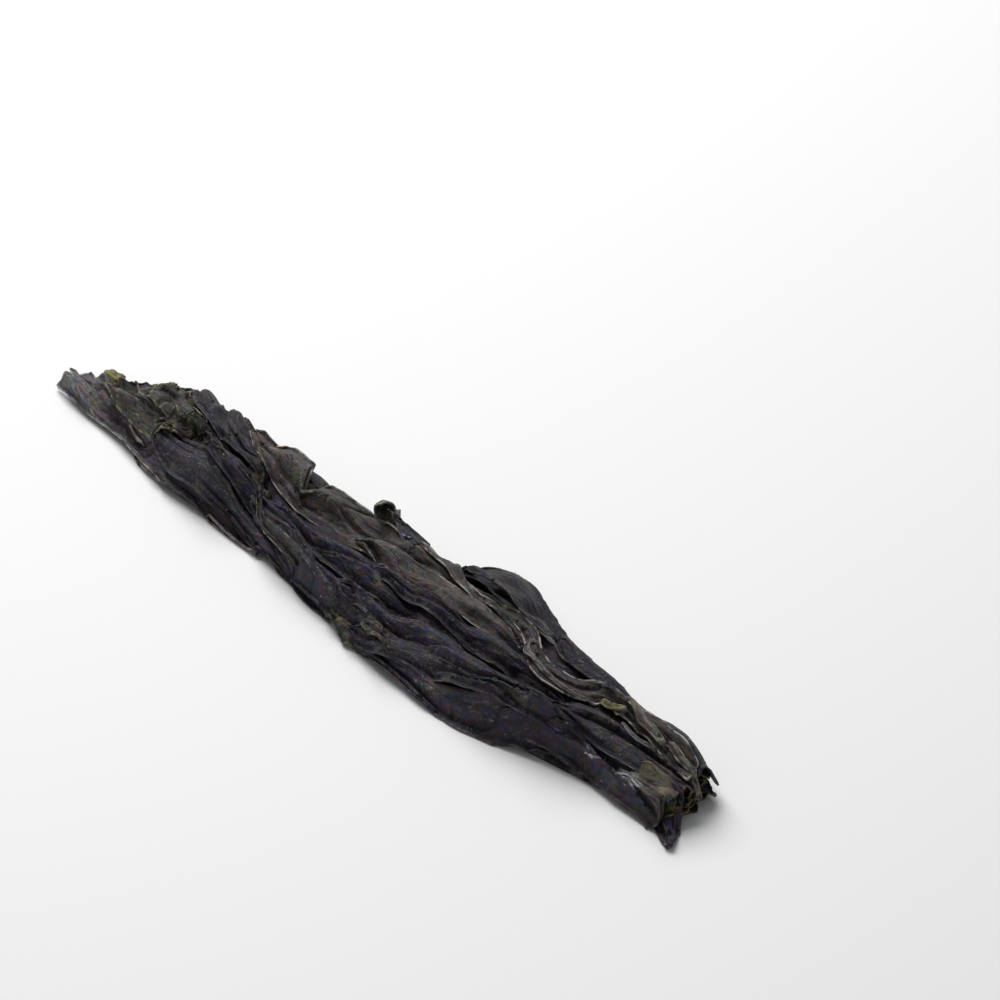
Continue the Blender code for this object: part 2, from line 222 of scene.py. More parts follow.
def read_between(grid, u, v):
    """A grid's values at places counted in its steps."""
    i, j = u.astype(int), v.astype(int)
    a, b = u - i, v - j
    if grid.ndim > 2:
        a, b = a[..., None], b[..., None]
    low = grid[i, j] * (1 - a) + grid[i + 1, j] * a
    high = grid[i, j + 1] * (1 - a) + grid[i + 1, j + 1] * a
    return low * (1 - b) + high * b


class Relief:
    """The height of the bundle over the floor, on a square grid, in mm."""

    def __init__(self, height=None):
        self.count = ((RELIEF_TO - RELIEF_FROM) / RELIEF_STEP).astype(int) + 1
        self.height = np.zeros(self.count) if height is None else height

    def axes(self):
        """x and y of every point of the grid."""
        x, y = (RELIEF_FROM[i] + RELIEF_STEP * np.arange(self.count[i]) for i in (0, 1))
        return np.meshgrid(x, y, indexing="ij")

    def cell(self, *place):
        """x and y counted in steps of the grid."""
        return [np.clip((value - low) / RELIEF_STEP, 0, count - PAST_END)
                for value, low, count in zip(place, RELIEF_FROM, self.count)]

    def at(self, height, x, y):
        """Heights kept on the relief's grid, read at any places."""
        return read_between(height, *self.cell(x, y))

    def softened(self, reach):
        return blurred(self.height, max(1, round(reach / RELIEF_STEP)))

    def raise_to(self, sheet):
        """Takes in a sheet given as rows and columns of points."""
        steps = [np.linspace(0, count - PAST_END, count * 2) for count in sheet.shape[:2]]
        denser = read_between(sheet, *np.meshgrid(*steps, indexing="ij"))
        u, v = self.cell(denser[..., 0], denser[..., 1])
        np.maximum.at(self.height, (np.round(u).astype(int), np.round(v).astype(int)), denser[..., 2])


print("relief from", RELIEF_FROM, "to", RELIEF_TO, "mm")

# %% [markdown]
# ## The core
#
# Inside the bundle are plies that nobody sees. A low mound stands for them: a gentle slope on the
# near side and a steep shoulder on the far side, because the fronds were folded over from there.
# Each row gives x, the crest's y, its reach to either side, and its height.

# %% The core's form
CORE_SECTIONS = [
    (-76, -4.5, 3.0, 2.5, 0.4),
    (-66, 0.6, 7.8, 5.5, 2.0),
    (-56, 3.6, 11.4, 5.6, 3.6),
    (-42, 4.6, 12.6, 5.5, 4.8),
    (-20, 5.2, 11.4, 5.0, 5.4),
    (0, 6.2, 14.0, 5.4, 5.4),
    (20, 8.0, 16.0, 6.0, 5.2),
    (40, 9.0, 13.2, 6.0, 5.0),
    (58, 9.6, 9.0, 5.0, 4.8),
    (70, 9.0, 6.6, 4.5, 4.4),
]
core_columns = np.array(CORE_SECTIONS, float).T


def core_height(x, y):
    """Height of the core over the floor."""
    crest, near, far, height = (np.interp(x, core_columns[0], column) for column in core_columns[1:])
    out = np.clip(np.where(y < crest, (crest - y) / near, (y - crest) / far), 0, 1)
    profile = np.where(y < crest, (1 - out**2) ** 0.8, (1 - out**4) ** 0.5)
    inside = (x >= core_columns[0][0]) & (x <= core_columns[0][-1])
    return np.where(inside, height * profile, 0)


relief = Relief()
relief.height = core_height(*relief.axes())
print("relief", relief.count, "points, core up to", round(relief.height.max(), 1), "mm")

# %% [markdown]
# ## The near side
#
# Along the near side the fronds round over and tuck under, so that side is one steep face with an
# uneven foot. The table gives the foot's y along the bundle; nothing is laid beyond it.

# %% Where the near side stands
NEAR_SIDE = [
    (-84, -8.8), (-72, -9.2), (-60, -9.0), (-52, -10.0), (-46, -10.1), (-40, -9.4), (-28, -8.7), (-19, -7.9),
    (-10, -8.8), (-3, -9.0), (6, -10.6), (15, -10.6), (22, -9.8), (32, -8.3), (40, -6.0), (46, -2.6),
    (54, -0.8), (62, -1.4), (67, -0.2), (73, -1.0),
]
TUCK_WITHIN = 0.9  # the last stretch before the foot, into which all that would pass it is pressed
near_side = np.array(NEAR_SIDE, float).T


def tucked(x, y):
    """y, but never beyond the near side's foot."""
    room = y - np.interp(x, near_side[0], near_side[1])
    pressed = TUCK_WITHIN * np.exp(np.minimum(room / TUCK_WITHIN - 1, 0))
    return y - room + np.where(room < TUCK_WITHIN, pressed, room)


print("near side from y", near_side[1].min(), "to", near_side[1].max())

# %% [markdown]
# ## One frond
#
# A frond is described by its route over the bundle, with its width at each row, and by how it is
# pleated. Across the frond the script follows the leaf itself: it walks from margin to margin by
# the leaf's own width and turns up and down with the slope of the pleats, so a steep pleat takes
# up more leaf, as in a real fold. Margins may roll up or under. Each thread along the leaf starts
# and stops at its own distance, which tears the ends into teeth.

# %% How a frond is described
WAVES = {  # each wave's number under the frond's seed, its length along the leaf in mm, and its level
    "margin": (1, 7, 0.5), "fine margin": (2, 2.5, 0.5), "pleat drift": (4, 1.5, 0.2), "curl": (5, 12, 0.4),
    "start": (11, 1, 0.3), "stop": (12, 1, 0.7), "near ruffle": (13, 4.5, 0.1), "far ruffle": (14, 4.5, 0.6),
    "rock": (15, 13, 0.2), "heave": (16, 8, 0.8), "sway": (17, 11, 0.5), "tooth": (23, 3.2, 0.4),
    "fine tooth": (24, 1.1, 0.4),
}


@dataclass
class Frond:
    """Rows of the route are (x, y, width) or (x, y, width, lift). A lift under 0 tucks it in."""

    name: str
    route: list
    seed: int
    finish: str = "blue"
    steep: float = 50  # steepest slope of a pleat, degrees
    pleat: float = 2.6  # width of a pleat
    run: float = 20  # length of a pleat
    arch: float = 0.5  # how far the middle stands over the margins
    fold: float = 3.4  # width of a rounded fold
    depth: float = 2.2  # depth of the crevices between such folds
    sway: float = 0.8  # how far the route wanders sideways
    heave: float = 0.6  # and up and down
    twist: float = 10  # how far the frond rocks about its length, degrees
    taper: tuple = (6, 8)  # length over which each end narrows and dives into the bundle
    curl: tuple = (0, 0)  # degrees that the near and the far margin turn up, or under if negative
    roll: tuple = (0.8, 0.8)  # radius of those turns
    ragged: tuple = (2, 2)  # how far the threads fall short at each end
    tooth: float = 2.2  # width of a tooth there
    slant: float = 0  # how much later the far margin starts
    early: float = 0  # how much sooner it stops
    tilt: float = 0  # rise from the near margin to the far one, degrees
    frill: float = 0.6  # how far a margin wanders
    ruffle: tuple = (0, 0)  # waves of the near and the far margin
    lift: float = 0.7  # of the whole frond over what it lies on
    bites: tuple = ()  # (distance along, depth, half-width) of folds in the far margin
    teeth: float = 0  # depth of the torn teeth along the far margin
    shade: float = 1  # how light the leaf is beside others of its finish: partly its own tone, partly painted light that lightens the near side, which faces away from the lamp
    arched: bool = False  # the route's lift is a height over the floor: it stands clear of what is below

    def wave(self, kind, along):
        """One of the frond's own waves along the leaf, alike right across it."""
        number, length, level = WAVES[kind]
        return smooth_noise(self.seed + number, along / length, 0 * along + level)

    def widest(self):
        return max(row[2] for row in self.route)


sample = Frond("sample", [(0, 0, 8), (40, 0, 8)], 1)
print("a sample:", sample)

# %% [markdown]
# The slope of a pleat is noise pushed through tanh, which flattens its tops and bottoms. The leaf
# then has straight flanks and sharp creases instead of soft waves.

# %% Pleats, folds and torn ends
PLEAT_SHARPNESS = 2.6
MARGIN_STRIP = 0.8  # the pleats fade out this close to a margin


def pleat_slopes(frond, along, face, unfolded):
    """Slope across the leaf, radians: broad pleats with sharp creases between, and flat margins."""
    drift = 0.7 * frond.wave("pleat drift", along / frond.run)
    broad = smooth_noise(frond.seed + 3, along / frond.run, face / frond.pleat + drift)
    slope = np.radians(frond.steep) * np.tanh(PLEAT_SHARPNESS * broad)
    return slope * ramp(np.minimum(face, unfolded - face), 0, MARGIN_STRIP)


def rounded_folds(frond, along, face):
    """Height of the folds: broad round backs with narrow crevices between them."""
    drift = 0.5 * smooth_noise(frond.seed + 22, along / 14, face / 6)
    wave = np.abs(smooth_noise(frond.seed + 21, along / frond.run + drift, face / frond.fold + drift))
    return frond.depth * (np.minimum(wave * 1.8, 1) ** 0.55 - 0.6)


def thread_stretch(frond, share, length):
    """Where each thread starts and stops along the route."""
    across = share * frond.widest() / frond.tooth
    start = frond.ragged[0] * (0.5 + 0.5 * frond.wave("start", across))
    stop = frond.ragged[1] * (0.5 + 0.5 * frond.wave("stop", across))
    return start + frond.slant * share, length - stop - frond.early * share


sample_face = np.linspace(0, sample.widest(), 100)
sample_slopes = np.degrees(pleat_slopes(sample, 0 * sample_face, sample_face, sample.widest()))
print("the sample's slopes: from", round(sample_slopes.min()), "to", round(sample_slopes.max()), "degrees")

# %% Across the leaf, from margin to margin
def walk_across(frond, along, place, unfolded, arcs):
    """Distance sideways and height along the pleated leaf and round its rolled margins."""
    near_turn = np.clip(-place / max(arcs[0], 1e-6), 0, 1)
    far_turn = np.clip((place - unfolded) / max(arcs[1], 1e-6), 0, 1)
    vary = 0.65 + 0.35 * frond.wave("curl", along)
    slope = pleat_slopes(frond, along, np.clip(place, 0, unfolded), unfolded)
    slope = slope + vary * (np.radians(frond.curl[1]) * far_turn - np.radians(frond.curl[0]) * near_turn)
    step = np.diff(place, axis=1)
    mean = 0.5 * (slope[:, 1:] + slope[:, :-1])
    zero = np.zeros((len(place), 1))
    return [np.concatenate([zero, np.cumsum(share * step, 1)], 1) for share in (np.cos(mean), np.sin(mean))]


NARROWEST = 0.3  # of the planned width


def leaf_width(frond, along, planned, whole):
    """The pleated leaf's width: it wanders, and it narrows towards tapered ends."""
    wander = 0.7 * frond.wave("margin", along)
    wander = frond.frill * (wander + 0.3 * frond.wave("fine margin", along))
    rolled = sum(radius * math.sin(math.radians(min(abs(turn), 90)))
                 for turn, radius in zip(frond.curl, frond.roll))
    width = np.maximum(planned + wander - rolled, NARROWEST * planned)
    return width * (NARROWEST + (1 - NARROWEST) * whole)


def tear_far_margin(frond, along, part, sideways):
    """Sets the far margin back by its bites and by its torn teeth."""
    row = along[:, :1]
    for at, depth, half_width in frond.bites:
        bite = np.clip(1 - abs(row - at) / half_width, 0, 1)
        sideways = sideways - depth * bite * np.clip(part, 0, 1.2) ** 1.5
    teeth = np.abs(frond.wave("tooth", row)) + 0.5 * np.abs(frond.wave("fine tooth", row))
    return sideways - frond.teeth * teeth * np.clip(part, 0, 1) ** 3


def add_waves(frond, along, inner, sideways, rise):
    """The leaf's height with its slow rocking and heaving and its ruffled margins."""
    rock = frond.tilt + frond.twist * frond.wave("rock", along)
    rise = rise + np.tan(np.radians(rock)) * sideways
    rise = rise + frond.heave * frond.wave("heave", along)
    rise = rise + frond.ruffle[0] * (1 - inner) ** 2 * frond.wave("near ruffle", along)
    return rise + frond.ruffle[1] * inner**2 * frond.wave("far ruffle", along)


sample_across, _ = walk_across(sample, np.zeros((1, 100)), sample_face[None, :], sample.widest(), (0, 0))
print(sample.widest(), "mm of it are", round(sample_across[0, -1], 1), "mm wide once pleated")

# %% Pleat a leaf
ROW_STEP = 0.36  # of a sheet as large as the finest one may be
COLUMN_STEP = 0.23
FINEST = 0.7  # share of those steps that a small sheet goes down to
FINE_UP_TO = 1700  # mm2 of leaf, from which on the whole steps hold
FEWEST_ROWS, FEWEST_COLUMNS = 12, 6
PLEAT_SLACK = 1.35  # unfolded width over the pleated one


def leaf_grid(frond, length, whole_width):
    """Rows along the flat leaf, columns across it, where its threads end, and how fine the grid is."""
    fineness = FINEST + (1 - FINEST) * ramp(length * whole_width, 0.4 * FINE_UP_TO, FINE_UP_TO)
    rows = max(FEWEST_ROWS, int(length / ROW_STEP / fineness))
    columns = max(FEWEST_COLUMNS, int(whole_width / COLUMN_STEP / fineness))
    share = np.linspace(0, 1, columns)[None, :]
    start, stop = thread_stretch(frond, share, length)
    along = start + np.linspace(0, 1, rows)[:, None] * (stop - start)
    return along, share, start, stop, fineness


def pleated(frond, along, place, unfolded, arcs, planned, whole):
    """Distance from the route and height of the leaf's points, and the face's column for each column."""
    across, rise = walk_across(frond, along, place, unfolded, arcs)
    first = int(np.searchsorted(place[0], 0))
    last = min(int(np.searchsorted(place[0], unfolded - 1e-9)), place.shape[1] - 1)
    span = across[:, last : last + 1] - across[:, first : first + 1]
    part = (across - across[:, first : first + 1]) / span
    inner = np.clip(part, 0, 1)
    width = leaf_width(frond, along, planned, whole)
    rise = rise - rise[:, first : first + 1] * (1 - part) - rise[:, last : last + 1] * part
    rise = rise * width / span
    folds = rounded_folds(frond, along, np.clip(place, 0, unfolded))
    rise = rise - rise[:, first : last + 1].mean(1, keepdims=True) + folds
    rise = rise + frond.arch * (1 - (2 * inner - 1) ** 2) * np.clip(width / frond.widest(), 0, 1)
    sideways = tear_far_margin(frond, along, part, (part - 0.5) * width)
    rise = add_waves(frond, along, inner, sideways, rise)
    return sideways, rise, np.clip(np.arange(place.shape[1]), first, last)


print("the sample's grid:", leaf_grid(sample, 40, sample.widest())[0].shape, "points")

# %% Lay one frond on the relief
TOUCHING = 0.6  # a rolled margin's height over the floor at least
DIVE = 1.8  # how deep a tapered end goes
MARGIN_SINK = 1.0  # how far a margin may sink into the crevice beside it
SINKING_STRIP = 1.5
HOLLOW_REACH = 1.6  # mm of leaf over which a hollow is measured
AHEAD = 0.001  # share of the route over which its heading is taken


def lay_frond(frond, relief, carry=True):
    """The frond's points, each one's place on the leaf, its distance from an edge, and its hollow."""
    _, length = point_on_route(frond.route, np.array([0.0]))
    unfolded = frond.widest() * PLEAT_SLACK
    arcs = [math.radians(abs(turn)) * radius for turn, radius in zip(frond.curl, frond.roll)]
    along, share, start, stop, fineness = leaf_grid(frond, length, unfolded + sum(arcs))
    place = share * (unfolded + sum(arcs)) - arcs[0] + 0 * along
    centre, ahead, behind = (point_on_route(frond.route, along / length + d)[0] for d in (0, AHEAD, -AHEAD))
    heading = (ahead - behind)[..., :2]
    heading /= np.linalg.norm(heading, axis=-1, keepdims=True)
    near_end, far_end = (max(taper, 0.01) for taper in frond.taper)
    whole = ramp(along, 0, near_end) * ramp(length - along, 0, far_end)
    sideways, rise, held = pleated(frond, along, place, unfolded, arcs, centre[..., 2], whole)
    sideways = sideways + frond.sway * frond.wave("sway", along)
    x = centre[..., 0] - heading[..., 1] * sideways
    y = tucked(x, centre[..., 1] + heading[..., 0] * sideways)

    # A rolled margin is carried where the face ends, and tapered ends dive into the bundle
    base = 0 * x if frond.arched else relief.at(relief.softened(DRAPE), x[:, held], y[:, held])
    dive = DIVE * (whole - 1)
    z = base + rise + frond.lift + centre[..., 3] + dive
    from_face_edge = np.minimum(place, unfolded - place)
    sunk = MARGIN_SINK * (1 - ramp(np.maximum(from_face_edge, 0), 0, SINKING_STRIP))
    lowest = np.where(from_face_edge >= 0, relief.at(relief.height, x, y) + LAYER_GAP - sunk, 0)
    z = np.maximum(np.maximum(z, lowest + dive), TOUCHING)
    points = np.stack([x, y, z], -1)
    if carry:
        relief.raise_to(points)
    from_side = np.minimum(place + arcs[0], unfolded + arcs[1] - place)
    from_end = np.minimum(along - start, stop - along)
    leaf = np.stack([along, place, frond.seed + 0 * along], -1)
    calm = blurred(z, round(HOLLOW_REACH / (ROW_STEP * fineness)))
    return points, leaf, np.minimum(from_side, from_end), z - calm


sample_points, *_ = lay_frond(sample, relief, carry=False)
print("laid on the core, the sample is up to", round(sample_points[..., 2].max(), 1), "mm high")

# %% [markdown]
# ## From points to a mesh
#
# The sheet keeps its values at each of its points, for the later steps: its place on the leaf
# (so that creases and streaks follow the leaf and not the room), its distance from the nearest
# edge, how deep it lies in its own pleat, how far it stands over the bundle around it, and how
# light its leaf is, which is partly its own tone and partly painted light.

# %% Turn a sheet into a mesh
def metres(points):
    """Points of the drawing as places in the scene."""
    return ((points.reshape(-1, 3) - DRAWING_CENTRE) * MM).tolist()


def keep_on_mesh(mesh, label, kind, field, values):
    """Keeps a value at each point of a mesh."""
    kept_values = mesh.attributes.new(label, kind, "POINT").data
    kept_values.foreach_set(field, values.astype(np.float32).ravel())


def sheet_mesh(name, points, leaf, **scalars):
    """A mesh of quads with the sheet's values as attributes. Its upper side faces up."""
    index = np.arange(leaf[..., 0].size).reshape(leaf.shape[:2])
    quads = np.stack([index[:-1, :-1], index[1:, :-1], index[1:, 1:], index[:-1, 1:]], -1).reshape(-1, 4)
    mesh = bpy.data.meshes.new(name)
    mesh.from_pydata(metres(points), [], quads.tolist())
    keep_on_mesh(mesh, "leaf", "FLOAT_VECTOR", "vector", leaf)
    for label, values in scalars.items():
        keep_on_mesh(mesh, label, "FLOAT", "value", values)
    mesh.polygons.foreach_set("use_smooth", np.ones(len(quads), bool))
    mesh.update()
    return mesh


print("the drawing's origin is at", metres(np.zeros(3)))

# %% [markdown]
# ## The fronds of this bundle
#
# The table runs from the lowest frond to the highest, because each one is laid on those before it.
# Broad crumpled fronds come first, then the rounded ropes of the near side, then the thin grey
# frond and its curled band along the crest. Places are in mm, +X towards the cut end and +Y
# towards the higher side.

# %% What groups of fronds have in common
ROPE = dict(steep=20, run=14, fold=4.0, depth=1.15, pleat=3.2)
SLIM_ROPE = {**ROPE, "arch": 3.2, "curl": (-90, -50)}
BACK = dict(steep=34, run=9, fold=4.5, arch=0.2, depth=0.9, frill=0.9, lift=0.3)
LOBE = dict(steep=20, run=12, depth=1.0, arch=1.2, curl=(-60, -40), taper=(0, 8))
TORN = dict(ragged=(1.5, 1.5), tooth=0.7, taper=(2, 3), teeth=0.8)
OLIVE_BAND = dict(steep=40, pleat=1.0, run=5, fold=1.4, depth=0.5, roll=(0.3, 0.3), sway=0.2, tooth=0.6)
SMOOTH_RIM = dict(pleat=1.2, fold=2, depth=0.2, arch=0.3)
print("a rope:", ROPE)

# %% The table of fronds
# A frond's shade is partly its own tone and partly painted light: the near-side ropes, which face away from
# the lamp, are made much lighter.
FRONDS = [
    Frond("base", [
        (-67, -0.6, 9), (-54, 0.6, 14), (-38, 0.8, 16), (-20, 1.2, 16), (0, 2.0, 18), (20, 3.8, 20),
        (40, 5.8, 18), (56, 7.8, 14.5), (69, 7.6, 12.6),
    ], 3, steep=26, run=12, fold=5, depth=0.8, pleat=5.1, arch=0, ragged=(3, 3), early=2, taper=(0, 0),
        shade=1.2),
    Frond("back_tip", [
        (-76.6, -1.8, 2.4), (-72, 1.4, 4.0), (-66, 5.2, 4.8), (-60, 7.0, 4.8), (-52, 8.4, 3.6),
    ], 45, steep=30, run=6, fold=3.0, arch=0.1, depth=0.6, pleat=1.9, ragged=(1.6, 2), frill=1.2, lift=0.1,
        taper=(1, 5), teeth=1.0),
    Frond("yellow_bit", [
        (-76.6, -1.6, 1.8, 0.9), (-75.2, -1.0, 3.0, 1.2), (-73.0, -0.6, 3.2, 1.0), (-69, -0.6, 2.4),
    ], 61, "yellow", steep=34, pleat=1.3, run=3, arch=0.3, depth=0.4, ragged=(1.6, 1), tooth=0.8, frill=1.0,
        lift=1.2, taper=(0, 4), teeth=1.1),
    Frond("tip_fan", [
        (-81, -4.6, 7.2, 2.0), (-72, -6.0, 7.0, 1.7), (-63, -6.0, 5.4, 0.8), (-56, -6.8, 4.8, 0.3),
        (-47, -8.0, 4.2), (-39, -7.4, 4), (-30, -6.8, 3.4),
    ], 9, "bloom", steep=54, run=22, fold=2.1, depth=1.2, pleat=1.9, sway=0.4, ragged=(3.0, 2), tooth=0.9,
        taper=(0, 8), teeth=0.7, shade=0.95),
    Frond("back_left", [
        (-66, 3.4, 4.4), (-56, 6.4, 6.0), (-42, 7.4, 6.6), (-22, 8.0, 6),
    ], 41, **{**BACK, "run": 7, "fold": 3.4, "depth": 1.1}, pleat=2.2, teeth=1.0),
    Frond("back_right", [
        (2, 9.6, 4), (8, 11.2, 6.4), (14, 12.0, 8.2), (24, 12.0, 7.4), (44, 12.2, 6.6), (58, 12.6, 6.2),
        (70, 11.8, 5.6),
    ], 42, **BACK, shade=1.4),
    Frond("back_middle", [
        (-34, 6.8, 4), (-20, 7.8, 6.5), (0, 9.2, 7), (20, 11, 5),
    ], 43, **BACK),
    Frond("flap_root", [
        (3.4, 11.4, 3.4, 0.0), (6.5, 12.8, 6.4, 0.7), (10, 14.6, 8.0, 1.2), (14, 15.4, 8.6, 1.4),
        (18, 15.0, 7.4, 1.2), (23, 14.0, 4.6, 0.4),
    ], 44, steep=22, run=9, arch=0.6, depth=0.7, lift=1.0, taper=(3, 2), shade=0.9),
    Frond("far_flap", [
        (7.0, 11.4, 2.4, -0.2), (10.4, 13.6, 6.4, 0.9), (14.5, 16.0, 8.8, 1.5), (20.2, 15.6, 7.6, 1.6),
        (25.0, 14.9, 6.4, 1.4), (30.8, 14.4, 4.6, 0.8),
    ], 11, steep=18, pleat=4, run=9, fold=5, arch=0.8, depth=0.7, sway=0.2, frill=0.5, tilt=8, lift=1.6,
        ragged=(0.8, 0.6), tooth=1.4, taper=(3.5, 1), teeth=0.3, shade=0.52),
    Frond("rim_lobe", [
        (30, 13.0, 2.4, 0.4), (33.5, 13.9, 5.2, 0.3), (38, 13.4, 5.6), (48, 13.0, 5.4), (58, 12.8, 5.0),
        (69, 11.4, 4.5),
    ], 12, steep=22, run=12, pleat=3.0, arch=1.2, depth=1.2, tilt=8, lift=1.4, taper=(2, 0), shade=0.62),
    Frond("left_leaf", [
        (-71, 0.0, 8.0, 0.4), (-62, 1.6, 11.4, 0.2), (-52, 2.2, 12.2), (-39, 0.4, 8.7), (-26, -1.4, 5.5),
    ], 14, "olive", steep=32, run=7, fold=5.0, depth=1.3, pleat=3.8, ragged=(3.5, 3), tooth=1.4, slant=9,
        lift=0.8, frill=1.0, taper=(0, 8), teeth=2.6, shade=1.2),
    Frond("ragged_leaf", [
        (-72.5, -1.0, 4.8), (-66, -2.2, 6.6), (-58, -2.9, 7.4), (-51.7, -2.4, 6.8), (-45, -2.6, 4),
    ], 62, "olive", steep=38, run=7, fold=3.6, depth=1.1, pleat=3.0, ragged=(3, 2), tooth=1.4, tilt=8,
        taper=(0, 8), teeth=1.2, shade=0.85),
    Frond("olive_ragged", [
        (-67.5, 1.8, 5.2, 0.4), (-60.8, 1.8, 6.8, 0.4), (-55.3, 2.0, 7.6), (-49, 1.2, 6), (-43, 0.8, 3),
    ], 63, "olive", steep=34, run=7, fold=4.6, depth=1.0, pleat=3.6, ragged=(3, 2), tooth=1.6, tilt=8,
        taper=(0, 7), teeth=2.6, shade=0.9),
    Frond("block", [
        (-59.5, 9.2, 3.2, 0.4), (-56, 7.4, 4.9), (-51.7, 5.4, 4.6), (-46.3, 4.1, 4.0), (-40.3, 2.3, 3.6),
        (-34.7, 1.2, 3.2), (-27, 0.6, 2.6, -0.4),
    ], 15, **LOBE, shade=0.6),
    Frond("second_lobe", [
        (-50, 9.2, 2.4, 0.5), (-45.7, 6.4, 4.4), (-39.1, 4.2, 4.5), (-33, 3.0, 4.2), (-25, 2, 3, -0.3),
    ], 16, **LOBE, shade=0.7),
    Frond("low_left", [
        (-58.5, -7.1, 3.4), (-52, -7.6, 5.2), (-45.1, -8.0, 5.2), (-33.7, -7.4, 4.2), (-27.3, -7.2, 3.3),
        (-21.9, -7.3, 1.4),
    ], 64, "rimmed", steep=34, run=9, fold=4.5, depth=1.1, pleat=3.6, arch=0.6, shade=1.68),
    Frond("blue_blade", [
        (-55.4, -3.9, 2.4), (-52.6, -4.9, 4.6), (-45.3, -5.5, 7.6), (-37.1, -6.0, 6.6), (-30.2, -6.2, 4.4),
        (-20.7, -6.6, 3.6), (-11.8, -7.6, 2.5, -0.3),
    ], 18, **ROPE, arch=3.2, curl=(-90, -60), ragged=(1, 2), taper=(3, 8)),
    Frond("blade_two", [
        (-48.6, 0.2, 2.0), (-46, -0.5, 3.6), (-40, -1.9, 4.2), (-33.6, -2.3, 3.8), (-26.6, -2.4, 3.8),
        (-17.9, -2.6, 3.4), (-10, -3, 2.4, -0.4),
    ], 65, **ROPE, arch=2.9, curl=(-90, -70), ragged=(0.6, 2), taper=(3, 8)),
    Frond("ledge", [
        (-55.6, -6.1, 2.4, 0.4), (-54.2, -3.9, 4.6, 0.4), (-52.2, -1.9, 5.4, 0.4), (-49.9, -0.2, 4.8, 0.2),
        (-47.3, 1.1, 2.6),
    ], 66, "olive", steep=34, run=3, fold=2.2, depth=0.7, pleat=2.4, ragged=(1.8, 1.5), tooth=1.0, frill=1.2,
        taper=(2, 3), teeth=2.4, tilt=10, arch=0.1, shade=1.38),
    Frond("near_rope", [
        (-27.5, -7.2, 2.2), (-21.8, -7.0, 2.4), (-13.1, -7.0, 3.2), (-6.9, -7.4, 4.4), (-1.1, -7.0, 4.8),
        (4, -7.4, 3.4, -0.3),
    ], 67, **ROPE, arch=2.0, curl=(-85, -60), shade=2.55),
    Frond("left_centre", [
        (-30.5, -2.2, 1.8), (-23.9, -4.4, 3.6), (-17.2, -5.2, 5.2), (-9.8, -5.8, 5.8), (-1.8, -6.2, 5.8),
        (5.9, -6.2, 6.4), (13, -5.4, 4.6, -0.2),
    ], 68, **ROPE, arch=2.9, curl=(-85, -40), shade=1.4),
    Frond("upper_centre", [
        (-29, -0.8, 1.8), (-19.8, -1.8, 2.8), (-11.7, -1.9, 4.3), (-3.6, -1.6, 5.1), (4.6, -1.2, 4.8),
        (12, -0.6, 3.4, -0.3),
    ], 69, **ROPE, arch=2.9, curl=(-85, -50), shade=1.46),
    Frond("cross_fold", [
        (-31, -0.4, 0.9), (-27.8, -3.0, 1.5), (-24, -4.9, 1.9), (-19, -6.1, 2.1), (-13, -6.6, 2.0),
        (-6, -7, 1.4),
    ], 70, "rimmed", steep=32, pleat=1.2, arch=0.9, curl=(-40, 30), taper=(3, 10)),
    Frond("torn_end", [
        (-2, -8.6, 1.0, 0.3), (1.6, -9.2, 1.9, 0.2), (5.0, -9.6, 2.1), (8, -9.9, 1.3, -0.2),
    ], 71, "torn", **TORN, steep=56, pleat=1.0, run=2.6, fold=1.4, depth=0.7, frill=0.9, ruffle=(0.8, 0.8)),
    Frond("middle_rope", [
        (-5, -5.2, 2.0, -0.2), (-1, -5.0, 3.4), (8, -4, 4.4), (16, -2.6, 4.8), (25, -1.2, 4.8),
        (34.3, 0.4, 4.5), (42.1, 1.6, 4), (49, 2.4, 2.6, -0.3),
    ], 22, **SLIM_ROPE, shade=1.48),
    Frond("high_rope", [
        (-3, 0.0, 2.2, -0.2), (1.6, 0.5, 3.6), (11.2, 1.4, 4.2), (20.2, 2.8, 5), (29.9, 4.0, 4.8),
        (37.6, 4.4, 4), (46, 4.8, 2.8, -0.3),
    ], 23, **SLIM_ROPE, shade=1.26),
    Frond("end_point", [
        (64.6, 4.8, 4.6, -0.3), (67.8, 3.6, 4.4, -0.2), (70.4, 1.8, 2.8, -0.2), (72.5, 0.0, 0.6, -0.2),
    ], 27, steep=40, pleat=1.6, run=4, fold=2.4, depth=0.9, arch=0.6, sway=0, ragged=(1, 0.4), frill=0.5,
        taper=(3, 0), shade=1.8),
    Frond("lower_roll", [
        (5.4, -9.4, 1.6), (9.4, -9.0, 2.8), (16.7, -8.0, 4.4), (26.2, -6.1, 5.4), (35.7, -4.1, 5.9),
        (43.5, -1.0, 5.2), (52.5, 1.4, 4.6), (61.0, 2.4, 5.0), (66.2, 2.6, 5.2), (69.4, 2.0, 5.2),
    ], 72, **{**SLIM_ROPE, "fold": 3.2, "depth": 1.8}, ragged=(1, 2.6), tooth=1.5, taper=(6, 0), shade=1.94),
    Frond("upper_roll", [
        (3.0, -8.6, 2.6), (7, -8.2, 3.8), (12.6, -7.1, 5.0), (21.4, -4.6, 5.3), (31, -2.6, 5.2),
        (40.5, -0.6, 4.8), (49.4, 1.4, 3.4), (56, 2.6, 2.4, -0.3),
    ], 21, **{**ROPE, "fold": 3.4, "depth": 1.5}, arch=3.2, curl=(-90, -60), ragged=(1, 2),
        taper=(3, 9), shade=0.8),
    Frond("torn_patch", [
        (4.4, -6.6, 0.8), (7.8, -7.0, 2.4, 0.1), (11.6, -7.6, 2.0, 0.1), (15.2, -8.6, 0.8),
    ], 56, "torn", **TORN, steep=40, pleat=1.2, run=3, fold=1.8, depth=0.5, frill=0.7, lift=0.3),
    Frond("dark_leaf", [
        (39, 2.4, 3.6, -0.2), (43, 3.1, 4.8), (50.5, 5.0, 6), (59.2, 6.4, 5.8), (70, 7.4, 4.2),
    ], 24, **{**ROPE, "fold": 3.0, "depth": 1.7}, arch=2.0, curl=(-85, -40), taper=(7, 0), shade=0.9),
    Frond("brown_flat", [
